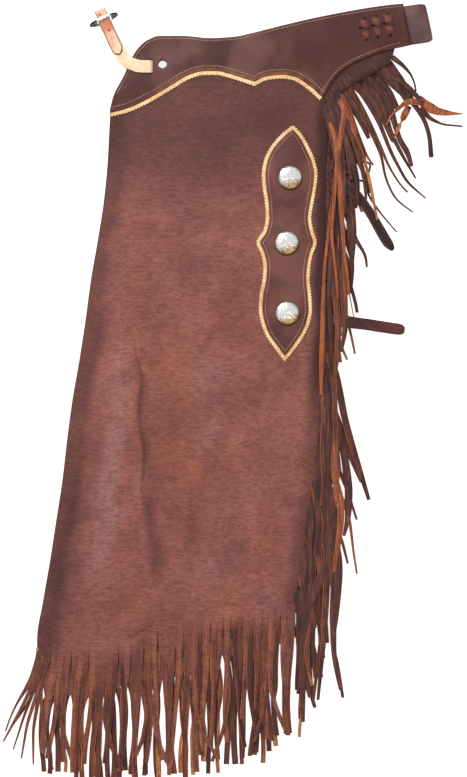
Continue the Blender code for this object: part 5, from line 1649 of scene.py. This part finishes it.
# %% Fringe of the back seams
def side_strands(name, first, last, pitch, inset, root_z, rests, reach, tones, strays=()):
    shift_x, shift_y = through(SIDE_FALL, 1), through(SIDE_FALL, 2)
    shared = np.array([dice.gauss(0, 1) for _ in range(60)])
    bundle = Bundle()
    y, k = first, 0
    while y > last:
        slope = float(right_edge(y + 1) - right_edge(y - 1)) / 2
        out = np.array([1.0, -slope]) / math.hypot(1, slope)
        root = np.array([float(right_edge(y)) - inset, y])
        lean = float(np.interp(y / 19 + 20, np.arange(60), shared))
        shift = (float(shift_x(y)) * reach * 0.8 + lean * 10 + dice.gauss(0, 4),
                 float(shift_y(y)) * dice.uniform(0.72, 1.02))
        line = fall(root, shift, out + np.array([0, -2.2]), dice.uniform(-8, 7), 18, 2.4)
        away = np.linalg.norm(line - line[0], axis=1)
        z = mix(root_z, rests[k % len(rests)], smooth(away / 24))
        half = dice.uniform(3.4, 5.0) * mix(1.0, dice.uniform(0.45, 0.85), smooth(away / 150))
        turned = dice.choice((0, 0, 0, 0, 1, -1)) * dice.uniform(1.5, 3.4)
        twist = turned * smooth((away - dice.uniform(15, 60)) / 70)
        # darker near the root: painted shade that carries on the panel's shaded edge
        tone = min(1, max(0, dice.gauss(*tones))) * smooth(away / 30 + 0.25)
        bundle.add(np.c_[line, z], half, half, 1.25, {"tone": tone}, twist)
        y -= pitch * dice.uniform(0.8, 1.2)
        k += 1
    for rest, tone, twist, cut, spots, wide in strays:
        line = along_curve([px(*spot) for spot in spots], 5.5)
        t = np.linspace(0, 1, len(line))
        away = t * np.linalg.norm(np.diff(line, axis=0), axis=1).sum()
        inside = smooth((right_edge(line[:, 1]) + 4 - line[:, 0]) / 8)
        z = mix(root_z, rest - 0.9, smooth(away / 26))
        half = np.interp(t, np.linspace(0, 1, len(wide)), wide) / 2
        lying = panel_height(line[:, 0], line[:, 1])
        if rest > 11 or cut:
            over = lying + 0.8 - 1.8 * (1 - smooth(away / 8))
            half = half * (0.3 + 0.7 * smooth(away / 12))
        else:
            over = (lying + 0.8) * smooth((away - 60) / 20)
            half = half + 2.0 * (1 - smooth(away / 40))
        z = np.maximum(z * (1 - inside * (over > 0) * cut), inside * over)
        # darker near the root: painted shade, as above
        bundle.add(np.c_[line, z], half, half, 1.2, {"tone": tone * smooth(away / 24 + 0.4)},
                   twist * smooth((t - 0.2) * 1.6))
    made = bundle.finish(name, [strand_finish, strand_edge, strand_flesh])
    print(name + ":", k + len(strays), "strands,", made_triangles[name], "triangles")
    return made


dice.seed(9)
near_side_piece = side_strands("side_strands", 384, -266, 10.2, 1.0, 9.2, (7.3, 5.6, 4.4, 6.4),
                               0.8, (0.24, 0.24), STRAYS)
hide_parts("side_fringe")
far_side_piece = side_strands("under_side_strands", 376, -268, 11.5, 2.5, 3.6, (3.2, 1.6, 2.4),
                              0.7, (0.16, 0.2))
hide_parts("under_side_fringe")


# %% [markdown]
# ## Front tie
# A tan tie comes up through the yoke's slot and lies over the yoke's front edge, down to a
# nickel buckle. The billet comes from the far yoke, goes up through the buckle, and folds back
# on itself. It stays fastened.

# %% Front tie
def place_from(finish, u, v):
    """Distance on the table from a place in the picture."""
    middle = (np.array(px(u, v)) + SHIFT[:2]) * MM
    return finish.make("ShaderNodeVectorMath", {"operation": "DISTANCE"},
                       {0: finish.stretch(1.0, 1.0, 0.0), 1: (middle[0], middle[1], 0.0)},
                       out="Value")


def billet_leather():
    """Pink tan hide with painted shade by the buckle, and dark spots of painted shade for its punched
    holes.
    """
    finish = Finish("tan_billet", Roughness=0.45, Specular_IOR_Level=0.3)
    soft = finish.cloudy(finish.place, 12.0, 3.0, 0.6)
    colour = finish.blend(finish.step(soft, 0.3, 0.7), tint(226, 164, 136), tint(246, 204, 180))
    # painted shade by the buckle
    near = finish.step(place_from(finish, 107, 25), 0.014, 0.004)
    colour = finish.blend(near * 0.8, colour, tint(206, 118, 76))
    # the punched holes are painted dark spots, standing for the shade inside them
    for u, v in ((109, 30), (100, 15)):
        hole = finish.step(place_from(finish, u, v), 0.0021, 0.0011)
        colour = finish.blend(hole * 0.85, colour, tint(120, 56, 36))
    finish.colour(colour)
    return finish.material


billet_finish = billet_leather()


def front_tie():
    top = lambda x, y: float(max(yoke_top(x, y + s) for s in (-8, 0, 8))) + 1.1 + 0.45
    rows = [(-104.6, 428, float(yoke_top(-104.6, 428)) - 1.3, 180, 15.6),
            (-108.2, 428, top(-108.2, 428) + 0.4, 180, 15.8),
            (-113, 428, top(-113, 428), 178, 16), (-121, 428.4, top(-121, 428), 172, 16),
            (-130, 431, 14.8, 158, 16), (-137, 435.3, 13.4, 142, 16),
            (-143.5, 442, 10.9, 128, 16), (-150, 452, 7.8, 118, 16), (-156, 464, 5.5, 115, 16),
            (-161, 475, 5.5, 114, 16), (-165, 483.5, 7.4, 114, 16), (-168, 490, 9.1, 114, 16),
            (-169.7, 494, 9.5, 114, 16)]
    tie = strap("front_tie", rows, 2.2, [cream_finish, tie_edge_shade_finish, cream_finish], 1.6)
    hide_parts("front_strap")
    billet = [(-133.2, 434.8, 1.4, 155, 14), (-142, 441.5, 1.4, 133, 14),
              (-150, 455, 1.4, 118, 14), (-157, 469, 1.4, 114, 14), (-161, 477.5, 2.8, 114, 14),
              (-164.5, 484.5, 5.3, 114, 14), (-167.5, 490, 6.3, 114, 14),
              (-170.2, 496, 6.8, 114, 14), (-172.6, 500.6, 8.0, 114, 14),
              (-173.5, 502.8, 10.0, 114, 14), (-172.6, 500.8, 12.0, 114, 14),
              (-170.2, 496, 12.9, 114, 14), (-168, 490.6, 12.5, 114, 14),
              (-164.8, 483.4, 10.6, 114, 14), (-160.8, 474.6, 8.6, 114, 14),
              (-156, 464, 8.7, 115, 14), (-152.4, 456, 9.8, 117, 14),
              (-149.9, 450.8, 11.0, 120, 13), (-148, 447.2, 12.2, 122, 9.5),
              (-146.9, 445.2, 13.0, 122, 4.5)]
    strip = strap("front_billet_strip", billet, 2.1,
                  [billet_finish, tie_edge_shade_finish, billet_finish], 1.2)
    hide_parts("front_billet")


front_tie()


def nickel_painted_reflections():
    """Painted reflections on the nickel: dark loops and a bright bar."""
    finish = Finish("nickel_painted_reflections", Metallic=1.0, Roughness=0.3)
    share = finish.step(place_from(finish, 104, 18), 0.0085, 0.0105)
    finish.colour(finish.blend(share, (0.82, 0.80, 0.78, 1), (0.035, 0.035, 0.038, 1)))
    return finish.material


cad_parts["front_buckle"].data.materials.clear()
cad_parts["front_buckle"].data.materials.append(nickel_painted_reflections())


# %% [markdown]
# ## Leg straps
# Dark straps hang from the back seam to close the leg behind the knee. The upper one belongs to
# the small black buckle beside it.

# %% Leg straps
def leg_straps():
    upper = [(132, 284.5, 10.0, -36, 15), (141, 278, 10.0, -38, 15), (152, 269.5, 10.0, -40, 14),
             (164, 258, 10.0, -50, 12.6), (174, 245, 9.9, -58, 12), (184, 229, 9.5, -61, 12.4),
             (194, 212, 6.4, -59, 13.2), (201, 201, 3.8, -56, 13), (205.5, 195, 2.6, -54, 10),
             (208.5, 191, 2.2, -52, 4.5)]
    lower = [(124, 100, 9.8, -4, 15), (140, 98.5, 9.8, -6, 15), (156, 96.0, 9.8, -7, 14.8),
             (172, 94.0, 9.2, -7, 14.6), (188, 91.6, 6.6, -6, 14.6), (204, 89.3, 3.2, -6, 14.6),
             (215, 87.8, 1.8, -5, 14.4), (220, 87.2, 1.6, -5, 13), (223.5, 86.7, 1.6, -5, 8)]
    chape = [(129, 303.5, 9.8, -12, 15), (142, 300, 9.8, -14, 15), (155, 296.5, 9.8, -14, 15)]
    for name, node, rows in (("leg_strap_upper_hide", "leg_strap_upper", upper),
                             ("leg_strap_lower_hide", "leg_strap_lower", lower),
                             ("leg_chape_upper_hide", "leg_chape_upper", chape)):
        skin = brown_strap_finish if "lower" in name else strap_finish
        made = strap(name, rows, 2.2, [skin, edge_finish, skin], 1.6)
        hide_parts(node)


leg_straps()
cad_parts["leg_buckle_upper"].data.materials.clear()
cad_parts["leg_buckle_upper"].data.materials.append(black_metal)


# %% [markdown]
# ## Area and triangle count
# The near leg's area and the count of all triangles are printed.

def flat_area(made):
    """Area of one face of a thin wall, in square metres."""
    return sum(p.area for p in made.data.polygons) / 2


print("leg area:", round(flat_area(leg), 4))
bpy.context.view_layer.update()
print("triangles:", sum(made_triangles.values()))
